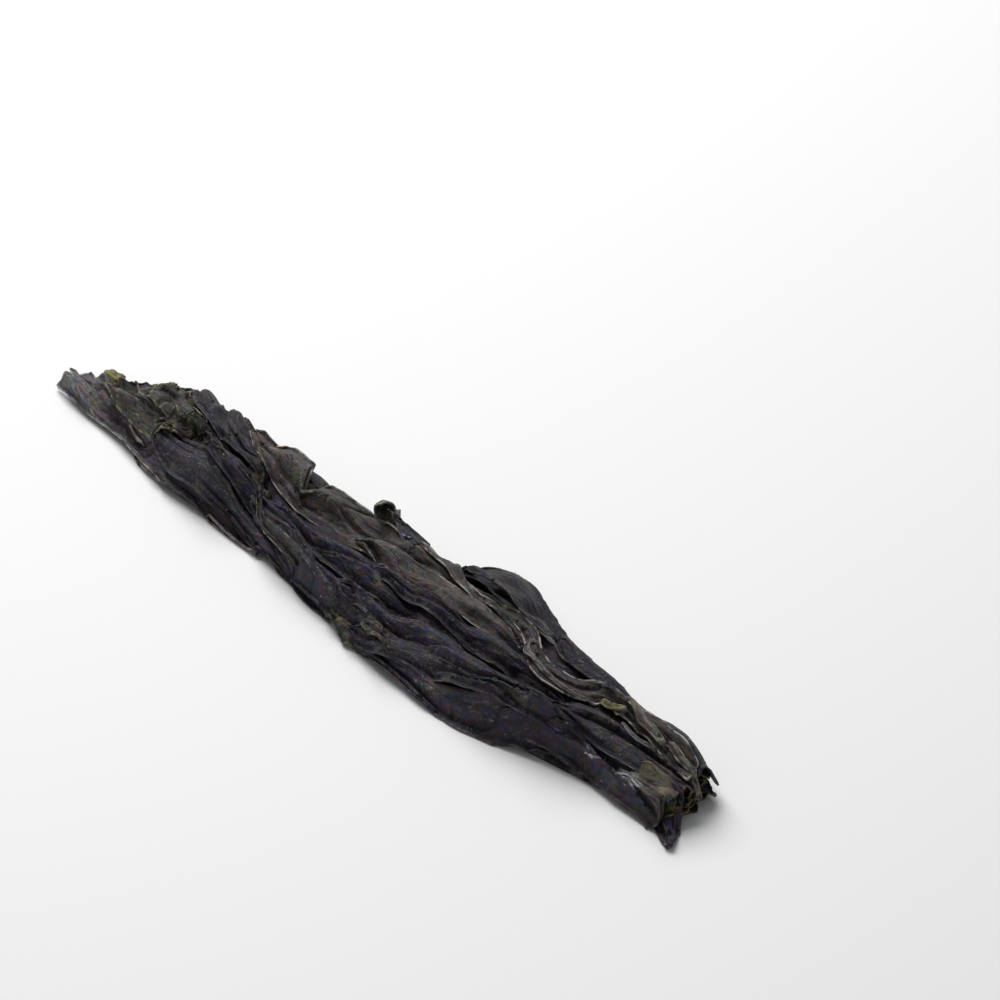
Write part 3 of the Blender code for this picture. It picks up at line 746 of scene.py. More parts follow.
        (57, 3.6, 1.2), (60.6, 3.9, 3.2), (64.6, 4.1, 4.2), (68.8, 4.2, 4.6),
    ], 26, "brown", steep=24, run=6, depth=0.5, ragged=(2.5, 1.4), tooth=1.0, lift=0.1, taper=(5, 0)),
    Frond("grey_frond", [
        (-43, 7.2, 2.0, 0.4), (-38, 5.6, 4.6, 0.2), (-31.8, 4.6, 6.2), (-22.8, 3.9, 6.6), (-15.3, 4.8, 7.0),
        (-7.4, 5.8, 7.2), (1.2, 6.8, 6.8), (8.6, 7.4, 6.0), (17.2, 7.7, 4.6), (24.5, 8.2, 3.6),
        (32, 8.6, 2.6, -0.2),
    ], 31, "grey", steep=38, pleat=2.8, run=9, fold=4.0, arch=0.3, depth=1.0, curl=(-30, 70), roll=(0.8, 0.5),
        sway=0.2, ruffle=(0, 1.2), frill=0.7, tilt=14, lift=1.0, bites=((21.4, 4.2, 2.6), (9.0, 1.0, 1.6)),
        taper=(3, 8)),
    Frond("grey_lip", [
        (-10, 3.4, 2.4, -0.1), (-1.8, 4.4, 3.4), (9.6, 5.0, 4.1), (18.9, 6.0, 3.9), (26.4, 7.2, 3.4),
        (31, 7.8, 2),
    ], 73, "grey", steep=32, pleat=1.8, arch=1.2, curl=(-60, 0), shade=1.1),
    Frond("grey_ribbon", [
        (-9.9, 8.6, 1.2, 0.2), (-3.1, 9.2, 2.4, 0.2), (2.0, 10.0, 3.0, 0.1), (7.0, 10.2, 2.8),
        (11.6, 9.2, 2.2, -0.1), (16.0, 8.4, 1.4, -0.3), (19.4, 8.0, 0.8, -0.5),
    ], 74, "grey", steep=22, run=8, arch=0.3, depth=0.7, curl=(0, 20), roll=(0.8, 0.6), taper=(3, 6),
        shade=0.75),
    Frond("curl_band", [
        (15.6, 8.8, 1.6, -0.3), (19.0, 9.3, 2.4, 0.2), (22.5, 10.4, 3.0, 0.5), (27, 10.4, 2.6, 0.5),
        (31.4, 8.0, 2.7, 0.4), (34.5, 6.6, 3.8, 0.3), (38.5, 6.9, 4.2, 0.2), (43, 8.4, 3.8),
        (47.5, 10.0, 3.2), (53.5, 10.4, 3.3), (61.2, 9.8, 3.3), (68.5, 8.8, 3.4),
    ], 32, "grey", steep=30, pleat=2.0, fold=2.2, depth=1.0, run=8, arch=0.3, curl=(50, 70), roll=(0.5, 0.6),
        sway=0.2, taper=(5, 0), shade=0.85),
    Frond("curl_rim", [
        (31.2, 9.9, 0.9, -0.1), (29.9, 9.2, 1.4, 0.3), (29.4, 8.2, 1.5, 0.5), (30.2, 7.1, 1.5, 0.5),
        (32.0, 6.3, 1.4, 0.4), (34.0, 5.8, 1.3, 0.3), (36.6, 5.5, 1.3, 0.2), (39.2, 5.7, 1.2, 0.1),
        (42.0, 6.5, 1.1), (45.0, 7.4, 1.0), (48.0, 8.4, 0.7, -0.2),
    ], 78, "rim", **SMOOTH_RIM, steep=14, run=5, curl=(-110, -110), roll=(0.4, 0.4), sway=0.1, heave=0.1,
        twist=4, frill=0.15, ragged=(0.2, 0.4), lift=0.5, taper=(1.2, 4), shade=0.75),
    Frond("dark_spike", [
        (1.6, 8.6, 4.2, 8.0), (-3.0, 9.1, 2.8, 8.7), (-7.0, 9.9, 0.4, 9.4),
    ], 58, steep=20, pleat=2, run=5, fold=3, depth=0.4, sway=0, heave=0.1, twist=4, frill=0.2,
        ragged=(0.8, 0.1), lift=0.0, taper=(0, 0), arched=True, shade=1.2),
    Frond("olive_band", [
        (47.0, 11.4, 0.8), (50.2, 11.6, 1.5, 0.2), (55.1, 10.0, 1.6, 0.2), (58.6, 9.6, 1.4, 0.2),
        (61.8, 9.2, 0.5, 0.2),
    ], 59, "band", **OLIVE_BAND, curl=(-30, 30), ragged=(1.0, 1.2), lift=0.4, taper=(3, 2), shade=1.25),
    Frond("olive_strip", [
        (58.6, 10.6, 0.8), (62.9, 9.8, 1.5, 0.1), (66.5, 9.3, 1.5, 0.1), (70.2, 8.7, 1.0, 0.1),
    ], 57, "band", **OLIVE_BAND, curl=(-30, 20), ragged=(1.0, 0.8), lift=0.3, taper=(3, 0)),
    Frond("pale_rim", [
        (51.6, 8.2, 0.6), (53.6, 7.4, 1.0, 0.2), (56.4, 6.9, 1.1, 0.2), (59.2, 7.7, 0.9, 0.1), (61, 8.0, 0.5),
    ], 60, "rim", **SMOOTH_RIM, steep=20, run=3, curl=(-90, -60), roll=(0.3, 0.3), sway=0.2, heave=0.2,
        frill=0.3, ragged=(0.4, 0.4), lift=0.4, taper=(1, 1), shade=0.6),
    Frond("pale_twist", [
        (46.0, 8.6, 0.5), (47.8, 8.6, 1.0, 0.3), (49.4, 9.0, 1.2, 0.3), (51.0, 9.8, 0.9, 0.2),
        (51.8, 10.6, 0.4),
    ], 75, "yellow", steep=50, pleat=0.7, run=2.0, fold=1.0, depth=0.4, ragged=(0.6, 0.6), tooth=0.5,
        twist=40, frill=0.5, lift=0.5, taper=(1.5, 1.5), teeth=0.4),
]
print(len(FRONDS), "broad fronds and strips")

# %% [markdown]
# Here and there only the dried margin of a frond shows: a thin pale line that wanders over the
# darker leaf below. Each is a very narrow frond of its own, and one of them is white with salt.

# %% Thin pale margins
MARGINS = {
    "tip_margin_a": [(-72.6, -7.1), (-70.2, -8.1), (-67.6, -8.4), (-65.2, -7.7)],
    "tip_margin_b": [(-61.8, -6.1), (-59.6, -6.8), (-57.4, -7.1), (-54.9, -6.8)],
    "under_margin": [(-35.4, -9.3), (-29.4, -9.2), (-25.2, -8.8), (-21.0, -8.2)],
    "lip_margin": [(-0.1, 8.6), (2.5, 9.1), (5.1, 8.8)],
    "salt_margin": [(51.9, -0.1), (51.5, 0.9), (52.2, 1.3), (53.5, 1.4), (55.3, 2.5)],
}
MARGIN_WIDTH, MARGIN_POINT = 0.36, 0.15
FIRST_MARGIN_SEED = 90
for seed, (name, line) in enumerate(MARGINS.items(), FIRST_MARGIN_SEED):
    route = [(*place, MARGIN_WIDTH) for place in line]
    for end in (0, -1):
        route[end] = (*line[end], MARGIN_POINT)
    FRONDS.append(Frond(
        name, route, seed, "salt" if "salt" in name else "rim", steep=30, pleat=0.5, run=2.5, fold=1,
        depth=0.1, arch=0.1, twist=20, sway=0.4, heave=0.1, frill=0.2, ragged=(0.5, 0.5), tooth=0.3, lift=0.1,
        taper=(1.5, 1.5), teeth=0.1))
print(len(FRONDS), "fronds")

# %% [markdown]
# ## The cut end
#
# Where the bundle was cut across, the edges of its inner plies show one over the other. Short wavy
# plies are laid at several heights inside the core, and each has its own relief: the core lowered
# to that height.

# %% Lay all fronds, from the bottom up
PLY_SHARES = (0.02, 0.12, 0.21, 0.3, 0.39, 0.48, 0.57, 0.66, 0.75, 0.84, 0.93)
PLY_ROUTE = [(55, 7.7, 8.6), (62.5, 7.7, 9.2), (70.2, 7.9, 10.2)]
FIRST_PLY_SEED = 80
AROUND = 3.0  # how widely a point is compared with the bundle around it

laid = []
for number, ply_share in enumerate(PLY_SHARES):
    ply = Frond(f"inner_ply_{number}", PLY_ROUTE, FIRST_PLY_SEED + number, "cut", steep=34,
                pleat=3.0 + 0.5 * (number % 3), run=3, fold=2.5, depth=0.9, arch=0, twist=25, ragged=(0, 3.4),
                tooth=1.1, early=1.6, lift=0.4, taper=(0, 0))
    laid.append((ply, *lay_frond(ply, Relief(ply_share * relief.height), carry=False)))
for frond in FRONDS:
    laid.append((frond, *lay_frond(frond, relief)))
    top = laid[-1][1]
    print(f"{frond.name:14} {top.shape[0]:4} x {top.shape[1]:3} points, up to {top[..., 2].max():5.2f} mm")
print(len(laid), "sheets")

# %% [markdown]
# ## The curled tongue
#
# On the crest one thin tongue of leaf has dried into a scroll, open towards the near side. It
# isn't draped on anything, so its sheet is made directly: rows lead away from the near side, and
# columns run along the leaf below and then round the scroll.

# %% Make the curled tongue
TONGUE_FOOT = (-8.0, 8.7)
TONGUE_DEPTH = 3.2
TONGUE_ROWS, TONGUE_COLUMNS = 14, 60
TONGUE_SEED = 120
SCROLL_RADIUS = 1.75
SCROLL_TURN = math.radians(280)
SCROLL_TALLER = 1.25
TAIL = 2.4  # how far the flat part reaches beyond the scroll

inwards = np.linspace(0, TONGUE_DEPTH, TONGUE_ROWS)[:, None] + np.zeros(TONGUE_COLUMNS)
round_scroll = np.linspace(0, TAIL + SCROLL_RADIUS * SCROLL_TURN, TONGUE_COLUMNS) + 0 * inwards
turned_by = np.maximum(round_scroll - TAIL, 0) / SCROLL_RADIUS
radius = SCROLL_RADIUS * (1 - 0.05 * turned_by) * (1 - 0.97 * (inwards / TONGUE_DEPTH) ** 1.5)
radius = radius + 0.12 * smooth_noise(TONGUE_SEED, turned_by * 1.5, inwards / 2)
sideways = np.maximum(TAIL - round_scroll, 0) - radius * np.sin(turned_by)
upwards = radius * (1 - np.cos(turned_by)) * SCROLL_TALLER
foot = relief.at(relief.height, *np.array(TONGUE_FOOT)[:, None])[0]
tongue_points = np.zeros((*upwards.shape, 3))
tongue_points[..., :2] = TONGUE_FOOT - sideways[..., None] * left[:2] + inwards[..., None] * away[:2]
tongue_points[..., 2] = foot + upwards + 0.15 * smooth_noise(TONGUE_SEED + 1, round_scroll / 2, inwards)
tongue = Frond("curled_tongue", [(0, 0, 3)], TONGUE_SEED + 2, "band")
tongue_leaf = np.stack([round_scroll, inwards, tongue.seed + 0 * upwards], -1)
laid.append((tongue, tongue_points, tongue_leaf, inwards, 0 * upwards))
print("tongue from", round(foot, 1), "to", round(tongue_points[..., 2].max(), 1), "mm")

# %% [markdown]
# How far a point stands over the bundle around it is only known now that all is laid.

# %% Compare each sheet with the bundle around it
around = relief.softened(AROUND)
laid = [(frond, points, *rest, points[..., 2] - relief.at(around, points[..., 0], points[..., 1]))
        for frond, points, *rest in laid]
print(sum(sheet[1][..., 2].size for sheet in laid), "points compared")

# %% [markdown]
# ## Creases
#
# A dried leaf is crossed by fine creases that run lengthwise and by small crumples. Geometry Nodes
# adds them along the leaf's own coordinates, so a crease follows its frond round every bend.
# A crease is the line where a stretched noise passes its middle value: thin, long and wandering.

# %% Short forms for node trees
GEOMETRY = {"Geometry": "Geometry"}


class Nodes:
    """Builds one node tree. Each short form adds a node and gives its output."""

    def __init__(self, tree):
        self.tree = tree

    def feed(self, socket, value):
        """Gives an input a value or another node's output."""
        if isinstance(value, bpy.types.NodeSocket):
            self.tree.links.new(value, socket)
        else:
            socket.default_value = value

    def add(self, kind, inputs=None, **settings):
        """Adds a node of any kind and gives the node itself."""
        node = self.tree.nodes.new(kind)
        for name, value in settings.items():
            setattr(node, name, value)
        for key, value in (inputs or {}).items():
            self.feed(node.inputs[key], value)
        return node

    def math(self, operation, *values):
        return self.add("ShaderNodeMath", dict(enumerate(values)), operation=operation).outputs[0]

    def times(self, *values):
        return self.math("MULTIPLY", *values)

    def vector(self, operation, *values, output="Vector"):
        node = self.add("ShaderNodeVectorMath", dict(enumerate(values)), operation=operation)
        return node.outputs[output]

    def fade(self, value, low, high, to_low=0.0, to_high=1.0):
        """to_low up to low, to_high from high on, and a smooth change between."""
        inputs = {"Value": value, "From Min": low, "From Max": high, "To Min": to_low, "To Max": to_high}
        return self.add("ShaderNodeMapRange", inputs, interpolation_type="SMOOTHSTEP").outputs["Result"]

    def noise(self, vector, scale=1.0, detail=2.0, roughness=0.5, form="FBM", output=0):
        """Smooth noise, stretched where three scales are given."""
        if isinstance(scale, tuple):
            vector, scale = self.vector("MULTIPLY", vector, scale), 1.0
        inputs = {"Vector": vector, "Scale": scale, "Detail": detail, "Roughness": roughness}
        return self.add("ShaderNodeTexNoise", inputs, noise_type=form).outputs[output]

    def off_middle(self, value):
        """How far a noise is from its middle value: 0 along thin wandering lines."""
        return self.math("ABSOLUTE", self.math("SUBTRACT", value, 0.5))

    def blend(self, share, low, high, kind="MIX"):
        """Mixes two colours."""
        node = self.add("ShaderNodeMix", {0: share, 6: low, 7: high}, data_type="RGBA", blend_type=kind)
        return node.outputs[2]


def new_group(name, kind, inputs, outputs):
    """A node group with those inputs and outputs, and the values that come in."""
    tree = bpy.data.node_groups.new(name, kind)
    for in_out, sockets in (("INPUT", inputs), ("OUTPUT", outputs)):
        for label, socket in sockets.items():
            tree.interface.new_socket(label, in_out=in_out, socket_type="NodeSocket" + socket)
    return Nodes(tree), tree.nodes.new("NodeGroupInput").outputs


def mesh_value(nodes, name, kind="FLOAT"):
    """What the mesh keeps under that name, for Geometry Nodes."""
    return nodes.add("GeometryNodeInputNamedAttribute", {"Name": name}, data_type=kind).outputs[0]


def of_type(kind, sockets):
    """The first socket of a type, on a node that has a socket for each type of value."""
    return next(socket for socket in sockets if socket.type == kind)


def set_inputs(modifier, values):
    """Sets a Geometry Nodes modifier's inputs by their labels."""
    for item in modifier.node_group.interface.items_tree:
        if item.in_out == "INPUT" and item.name in values:
            modifier[item.identifier] = values[item.name]


print("short forms:", ", ".join(name for name in vars(Nodes) if name[0] != "_"))

# %% The tree that creases a leaf
CREASES = {"Groove Depth": 0.11, "Groove Width": 3.2, "Groove Length": 7.0, "Crumple Height": 0.18,
           "Crumple Width": 2.2, "Crumple Length": 3.4, "Ridge Height": 0.09}  # mm
RIDGE_LENGTH, RIDGE_WIDTH = 9.0, 3.0
CALMING_ROUNDS = 6  # of smoothing, over which a crest is measured

creasing, sizes = new_group("creased leaf", "GeometryNodeTree",
                            {**GEOMETRY, **dict.fromkeys(CREASES, "Float"), "Material": "Material"}, GEOMETRY)
leaf_place = mesh_value(creasing, "leaf", "FLOAT_VECTOR")
along_leaf, across_leaf, leaf_number = creasing.add("ShaderNodeSeparateXYZ", {0: leaf_place}).outputs


def leaf_noise(length, width, own, **settings):
    """Noise in steps of that length and width on the leaf. Its own number sets it apart from the others."""
    steps = (creasing.math("DIVIDE", along_leaf, length), creasing.math("DIVIDE", across_leaf, width),
             creasing.times(leaf_number, own))
    return creasing.noise(creasing.add("ShaderNodeCombineXYZ", dict(enumerate(steps))).outputs[0], **settings)


groove = creasing.off_middle(leaf_noise(sizes["Groove Length"], sizes["Groove Width"], 1.0, detail=1.0))
groove = creasing.times(creasing.fade(groove, 0.0, 0.07, -1.0, 0.0), sizes["Groove Depth"])
crumple = leaf_noise(sizes["Crumple Length"], sizes["Crumple Width"], 1.7, form="RIDGED_MULTIFRACTAL")
crumple = creasing.times(creasing.math("SUBTRACT", crumple, 0.9), sizes["Crumple Height"])
ridge = creasing.off_middle(leaf_noise(RIDGE_LENGTH, RIDGE_WIDTH, 2.3, detail=1.0))
ridge = creasing.times(creasing.fade(ridge, 0.0, 0.06, 1.0, 0.0), sizes["Ridge Height"])
ridged_here = creasing.noise(leaf_place, (0.16, 0.3, 1.9), detail=1.0)
ridge = creasing.times(ridge, creasing.fade(ridged_here, 0.5, 0.62))
crease_height = creasing.math("ADD", creasing.math("ADD", groove, crumple), ridge)
near_edge = creasing.fade(mesh_value(creasing, "edge"), 0.0, 0.6, 0.3, 1.0)
crease_height = creasing.times(crease_height, near_edge)
normal = creasing.add("GeometryNodeInputNormal").outputs[0]
push = creasing.add("ShaderNodeVectorMath", {0: normal, "Scale": crease_height}, operation="SCALE").outputs[0]
creased = creasing.add("GeometryNodeSetPosition", {"Geometry": sizes["Geometry"], "Offset": push}).outputs[0]

# How far a point stands over the creased leaf around it is kept as the attribute "crest", in mm
here = creasing.add("GeometryNodeInputPosition").outputs[0]
calm = creasing.add("GeometryNodeBlurAttribute", {"Iterations": CALMING_ROUNDS}, data_type="FLOAT_VECTOR")
creasing.feed(of_type("VECTOR", calm.inputs), here)
apart = creasing.vector("SUBTRACT", here, of_type("VECTOR", calm.outputs))
crest_height = creasing.vector("DOT_PRODUCT", apart, normal, output="Value")
kept = creasing.add("GeometryNodeStoreNamedAttribute", {"Geometry": creased, "Name": "crest"},
                    data_type="FLOAT", domain="POINT")
creasing.feed(of_type("VALUE", kept.inputs), creasing.times(crest_height, 1 / MM))
real = creasing.add("GeometryNodeRealizeInstances", {"Geometry": kept.outputs[0]}).outputs[0]
made = creasing.add("GeometryNodeSetMaterial", {"Geometry": real, "Material": sizes["Material"]})
creasing.add("NodeGroupOutput", {"Geometry": made.outputs[0]})
print("creased leaf:", len(creasing.tree.nodes), "nodes")

# %% [markdown]
# ## Salt crystals
#
# Sea water dried on the fronds and left tiny crystals. They sit singly, mostly on the parts that
# stand proud, so points are scattered there on the leaf's upper side, and each carries a small
# turned cube.

# %% The tree that scatters crystals
CRYSTAL_SHAPE = (1, 0.8, 0.6)
SMALLEST_CRYSTAL = 0.35  # beside the largest
FULL_TURN = (6.28,) * 3

salting, wanted = new_group("salt crystals", "GeometryNodeTree",
                            {**GEOMETRY, "Per Square Metre": "Float", "Crystal Size": "Float", "Seed": "Int",
                             "Salt": "Material"}, GEOMETRY)
upwards_normal = salting.add("ShaderNodeSeparateXYZ", {0: salting.add("GeometryNodeInputNormal").outputs[0]})
chance = salting.times(salting.fade(upwards_normal.outputs["Z"], 0.1, 0.5),
                       salting.fade(mesh_value(salting, "standing"), -0.6, 0.8))
gathered = salting.noise(salting.add("GeometryNodeInputPosition").outputs[0], 260.0)
chance = salting.times(chance, salting.fade(gathered, 0.5, 0.66, 0.25, 2.4))
chance = salting.times(chance, wanted["Per Square Metre"])
spots = salting.add("GeometryNodeDistributePointsOnFaces",
                    {"Mesh": wanted["Geometry"], "Density": chance, "Seed": wanted["Seed"]}).outputs["Points"]
crystal = salting.add("GeometryNodeMeshCube", {"Size": CRYSTAL_SHAPE}).outputs["Mesh"]
crystal = salting.add("GeometryNodeSetMaterial", {"Geometry": crystal, "Material": wanted["Salt"]}).outputs[0]
turn = salting.add("FunctionNodeRandomValue", {"Max": FULL_TURN}, data_type="FLOAT_VECTOR").outputs[0]
size_share = salting.add("FunctionNodeRandomValue", {"Min": SMALLEST_CRYSTAL, "Max": 1.0}, data_type="FLOAT")
crystal_size = salting.times(size_share.outputs[1], wanted["Crystal Size"])
each = {"Points": spots, "Instance": crystal, "Rotation": turn, "Scale": crystal_size}
scattered = salting.add("GeometryNodeInstanceOnPoints", each).outputs[0]
joined = salting.add("GeometryNodeJoinGeometry")
for piece in (scattered, wanted["Geometry"]):
    salting.feed(joined.inputs[0], piece)
real = salting.add("GeometryNodeRealizeInstances", {"Geometry": joined.outputs[0]}).outputs[0]
salting.add("NodeGroupOutput", {"Geometry": real})
print("salt crystals:", len(salting.tree.nodes), "nodes")

# %% [markdown]
# ## The finish of a dried leaf
#
# All leaves share one pattern, so it is one node group, and each finish only gives it other
# colours. On the real thing the leaf is a dark, uneven film, streaked along its length, with a
# few olive places where it is thin, a paler torn margin, and salt that dried on it as a fine white
# bloom. The pattern also paints shade into its folds and highlights onto its crests. The group puts
# out the colour and the roughness.

# %% The leaf pattern group
FILM_COLOUR = (0.50, 0.50, 0.52, 1)
FLECKS = 1.35  # how far the smallest spots differ in brightness and hue
SCRATCH_HIGHLIGHTS = 0.6  # painted highlights: thin pale lines along the leaf, over the wear and highlights on its crests
COLOURS = ("Dark", "Light", "Cool Tint", "Warm Tint", "Low Shade Tint", "High Lit Tint", "Green Tint", "Plum Tint",
           "Patch", "Edge", "Salt")
AMOUNTS = ("Fleck Amount", "Patch Amount", "Edge Amount", "Wear And Highlight Amount", "Salt Amount")
pattern, given = new_group("leaf pattern", "ShaderNodeTree",
                           {**dict.fromkeys(COLOURS, "Color"), **dict.fromkeys(AMOUNTS, "Float")},
                           {"Color": "Color", "Roughness": "Float"})


def leaf_value(nodes, name, output="Fac"):
    """What the mesh keeps under that name, for a material."""
    return nodes.add("ShaderNodeAttribute", attribute_name=name).outputs[output]


def room_in_mm(nodes):
    """The place in the room."""
    place = nodes.add("ShaderNodeTexCoord").outputs["Object"]
    return nodes.vector("MULTIPLY", place, (1 / MM,) * 3)


def tinted(colour, tint, amount=1.0):
    """The colour multiplied by a tint or by a grey value."""
    return pattern.blend(amount, colour, tint, "MULTIPLY")


def covered(colour, mask, amount, over):
    """The colour with another of the given ones laid over it where the mask is."""
    return pattern.blend(pattern.times(mask, given[amount]), colour, given[over])


room = room_in_mm(pattern)
on_leaf = leaf_value(pattern, "leaf", "Vector")
hollow = leaf_value(pattern, "hollow")
crest = leaf_value(pattern, "crest")
film_here = leaf_value(pattern, "film")
print("leaf pattern:", len(COLOURS + AMOUNTS), "inputs")

# %% [markdown]
# The leaf's own colour comes first. It runs in streaks along the leaf, with mottles and a grain,
# and each leaf is a little lighter or darker than its neighbours: partly its own tone, and partly
# painted light that makes the near-side leaves, which face away from the lamp, lighter. Small specks
# and broad tints follow the room instead, because light and damp reached the bundle as a whole. Then
# come the olive places where the leaf is thin, painted shade in its hollows, and painted shade where
# a leaf lies low between others, partly also its own darker colour there.

# %% The leaf's colour, with painted shade and light
streak = pattern.noise(on_leaf, (0.2, 0.7, 1.0), 4.0, 0.6)
grain = pattern.noise(room, 3.2, 2.0, 0.7)
tone = pattern.math("MULTIPLY_ADD", pattern.noise(room, 0.55, 5.0, 0.65), 0.45, pattern.times(streak, 0.35))
tone = pattern.fade(pattern.math("MULTIPLY_ADD", grain, 0.2, tone), 0.34, 0.66)
colour = pattern.blend(tone, given["Dark"], given["Light"])
leaf_alone = pattern.vector("MULTIPLY", on_leaf, (0, 0, 1))
own = pattern.add("ShaderNodeTexWhiteNoise", {"Vector": leaf_alone}).outputs["Value"]
# The frond's shade multiplies in: partly the leaf's own tone, partly painted light on leaves that face away
# from the lamp.
own = pattern.times(pattern.fade(own, 0.0, 1.0, 0.85, 1.15), leaf_value(pattern, "shade"))
colour = tinted(colour, own)

specks = pattern.noise(room, 1.9, 3.0, 0.8, output="Color")
specks = pattern.vector("MULTIPLY_ADD", specks, (FLECKS,) * 3, (1 - FLECKS / 2,) * 3)
colour = tinted(colour, specks, given["Fleck Amount"])
for scale, detail, middle, first_tint, second_tint in (
    (0.9, 3.0, (0.38, 0.62), "Cool Tint", "Warm Tint"),
    (0.4, 4.0, (0.4, 0.6), "Plum Tint", "Green Tint"),
):
    share = pattern.fade(pattern.noise(room, scale, detail, 0.6), *middle)
    tint = pattern.blend(share, given[first_tint], given[second_tint])
    colour = tinted(colour, tint, given["Fleck Amount"])

thin_place = pattern.fade(pattern.noise(room, 0.27, 5.0, 0.65), 0.56, 0.62)
colour = covered(colour, thin_place, "Patch Amount", "Patch")
# Painted shade: the colour is darkened where the leaf lies deep in its own pleat.
colour = tinted(colour, pattern.fade(hollow, -0.8, 0.1, 0.4, 1.0))
# Painted shade where a leaf lies low between others, partly also that leaf's own darker, less salted colour,
# and a little painted light where it stands high.
standing_light_mask = pattern.fade(leaf_value(pattern, "standing"), -1.5, 0.8)
colour = tinted(colour, pattern.blend(standing_light_mask, given["Low Shade Tint"], given["High Lit Tint"]))
print("its own colour:", len(pattern.tree.nodes), "nodes")

# %% [markdown]
# What stands proud is worn, carries fine salt and catches the light, so it is painted paler, partly
# as wear and salt and partly as painted highlight. It is painted three ways: broadly on the backs of
# the folds, sharply on the crests of creases, and in thin scratches along the leaf. One even layer
# would look like dust. The small hollows beside the crests of creases get painted shade.

# %% Wear, fine salt, painted highlights and painted shade
# Partly wear and salt, partly painted highlight: the backs of the folds are painted paler.
worn_and_highlit = pattern.times(pattern.fade(hollow, 0.15, 0.6), pattern.fade(streak, 0.42, 0.62))
colour = covered(colour, pattern.times(worn_and_highlit, 0.45), "Wear And Highlight Amount", "Salt")
# Painted shade: the small hollows beside creases are darkened.
colour = tinted(colour, pattern.fade(crest, -0.07, 0.01, 0.5, 1.0))
# Painted highlight, partly salt: the crests of creases are painted paler in patches.
scuffed_and_highlit = pattern.fade(pattern.noise(room, 0.45, 4.0, 0.7), 0.44, 0.6)
colour = covered(colour, pattern.times(pattern.fade(crest, 0.025, 0.075), scuffed_and_highlit), "Wear And Highlight Amount", "Salt")
# Painted highlights: thin pale scratches along the leaf, in patches.
scratch_highlight = pattern.off_middle(pattern.noise(on_leaf, (0.13, 1.1, 3.1), 1.0))
highlight_patches = pattern.fade(pattern.noise(room, 0.3, 5.0, 0.75), 0.52, 0.62)
scratch_highlight = pattern.times(pattern.fade(scratch_highlight, 0.008, 0.035, 1.0, 0.0), highlight_patches)
colour = covered(colour, pattern.times(scratch_highlight, SCRATCH_HIGHLIGHTS), "Wear And Highlight Amount", "Salt")
print("with wear:", len(pattern.tree.nodes), "nodes")

# %% [markdown]
# A dried margin is thin and pale, but only here and there. The salt comes last, as it lies over
# everything: a crust in patches, and a film in streaks where sea water stood.

# %% Pale margins, salt crust and salt film
margin = pattern.fade(leaf_value(pattern, "edge"), 0.12, 0.42, 1.0, 0.0)
margin = pattern.times(margin, pattern.fade(pattern.noise(room, 0.5), 0.44, 0.6))
colour = covered(colour, margin, "Edge Amount", "Edge")
crust = pattern.fade(pattern.noise(room, 1.6, 5.0, 0.75), 0.52, 0.72)
crust = pattern.times(crust, pattern.fade(pattern.noise(room, 0.11), 0.42, 0.62, 0.12, 1.0))
crust = pattern.times(crust, given["Salt Amount"])
colour = pattern.blend(crust, colour, given["Salt"])
film = pattern.noise(on_leaf, (0.3, 1.7, 5.0), 4.0, 0.7)
film = pattern.fade(pattern.math("ADD", film, pattern.times(film_here, 0.24)), 0.68, 0.9)
colour = pattern.blend(pattern.times(film, pattern.fade(film_here, 0.0, 0.3)), colour, FILM_COLOUR)
rough = pattern.math("ADD", pattern.fade(grain, 0.3, 0.7, 0.36, 0.6), pattern.times(crust, 0.25))
pattern.add("NodeGroupOutput", {"Color": colour, "Roughness": rough})
print("leaf pattern:", len(pattern.tree.nodes), "nodes")

# %% [markdown]
# Finer than the mesh there is still a grain, like the skin of a dried leaf, and lengthwise
# wrinkles a fraction of a millimetre apart. A second group makes these as heights for a Bump.

# %% The leaf relief group
skin_relief, relief_given = new_group("leaf relief", "ShaderNodeTree",
                                      {"Wrinkles": "Float", "Grain": "Float"}, {"Height": "Float"})
on_leaf = leaf_value(skin_relief, "leaf", "Vector")
wrinkle = skin_relief.noise(on_leaf, (0.25, 0.8, 1.0), 3.0, 0.6)
fine_wrinkle = skin_relief.noise(on_leaf, (0.4, 1.7, 1.0), 2.0, 0.6)
wrinkle = skin_relief.math("MULTIPLY_ADD", fine_wrinkle, 0.55, wrinkle)
skin_grain = skin_relief.noise(room_in_mm(skin_relief), 1.1, 5.0, 0.75)
skin_height = skin_relief.times(wrinkle, relief_given["Wrinkles"])
skin_height = skin_relief.math("MULTIPLY_ADD", skin_grain, relief_given["Grain"], skin_height)
skin_relief.add("NodeGroupOutput", {"Height": skin_height})
print("leaf relief:", len(skin_relief.tree.nodes), "nodes")

# %% [markdown]
# ## The finishes
#
# The bundle is mostly blue-black. The thin frond on the crest dried to a grey-brown with pale
# margins; the ragged leaves at the torn end are olive in places; and the cut edges at the other
# end are yellow-brown.

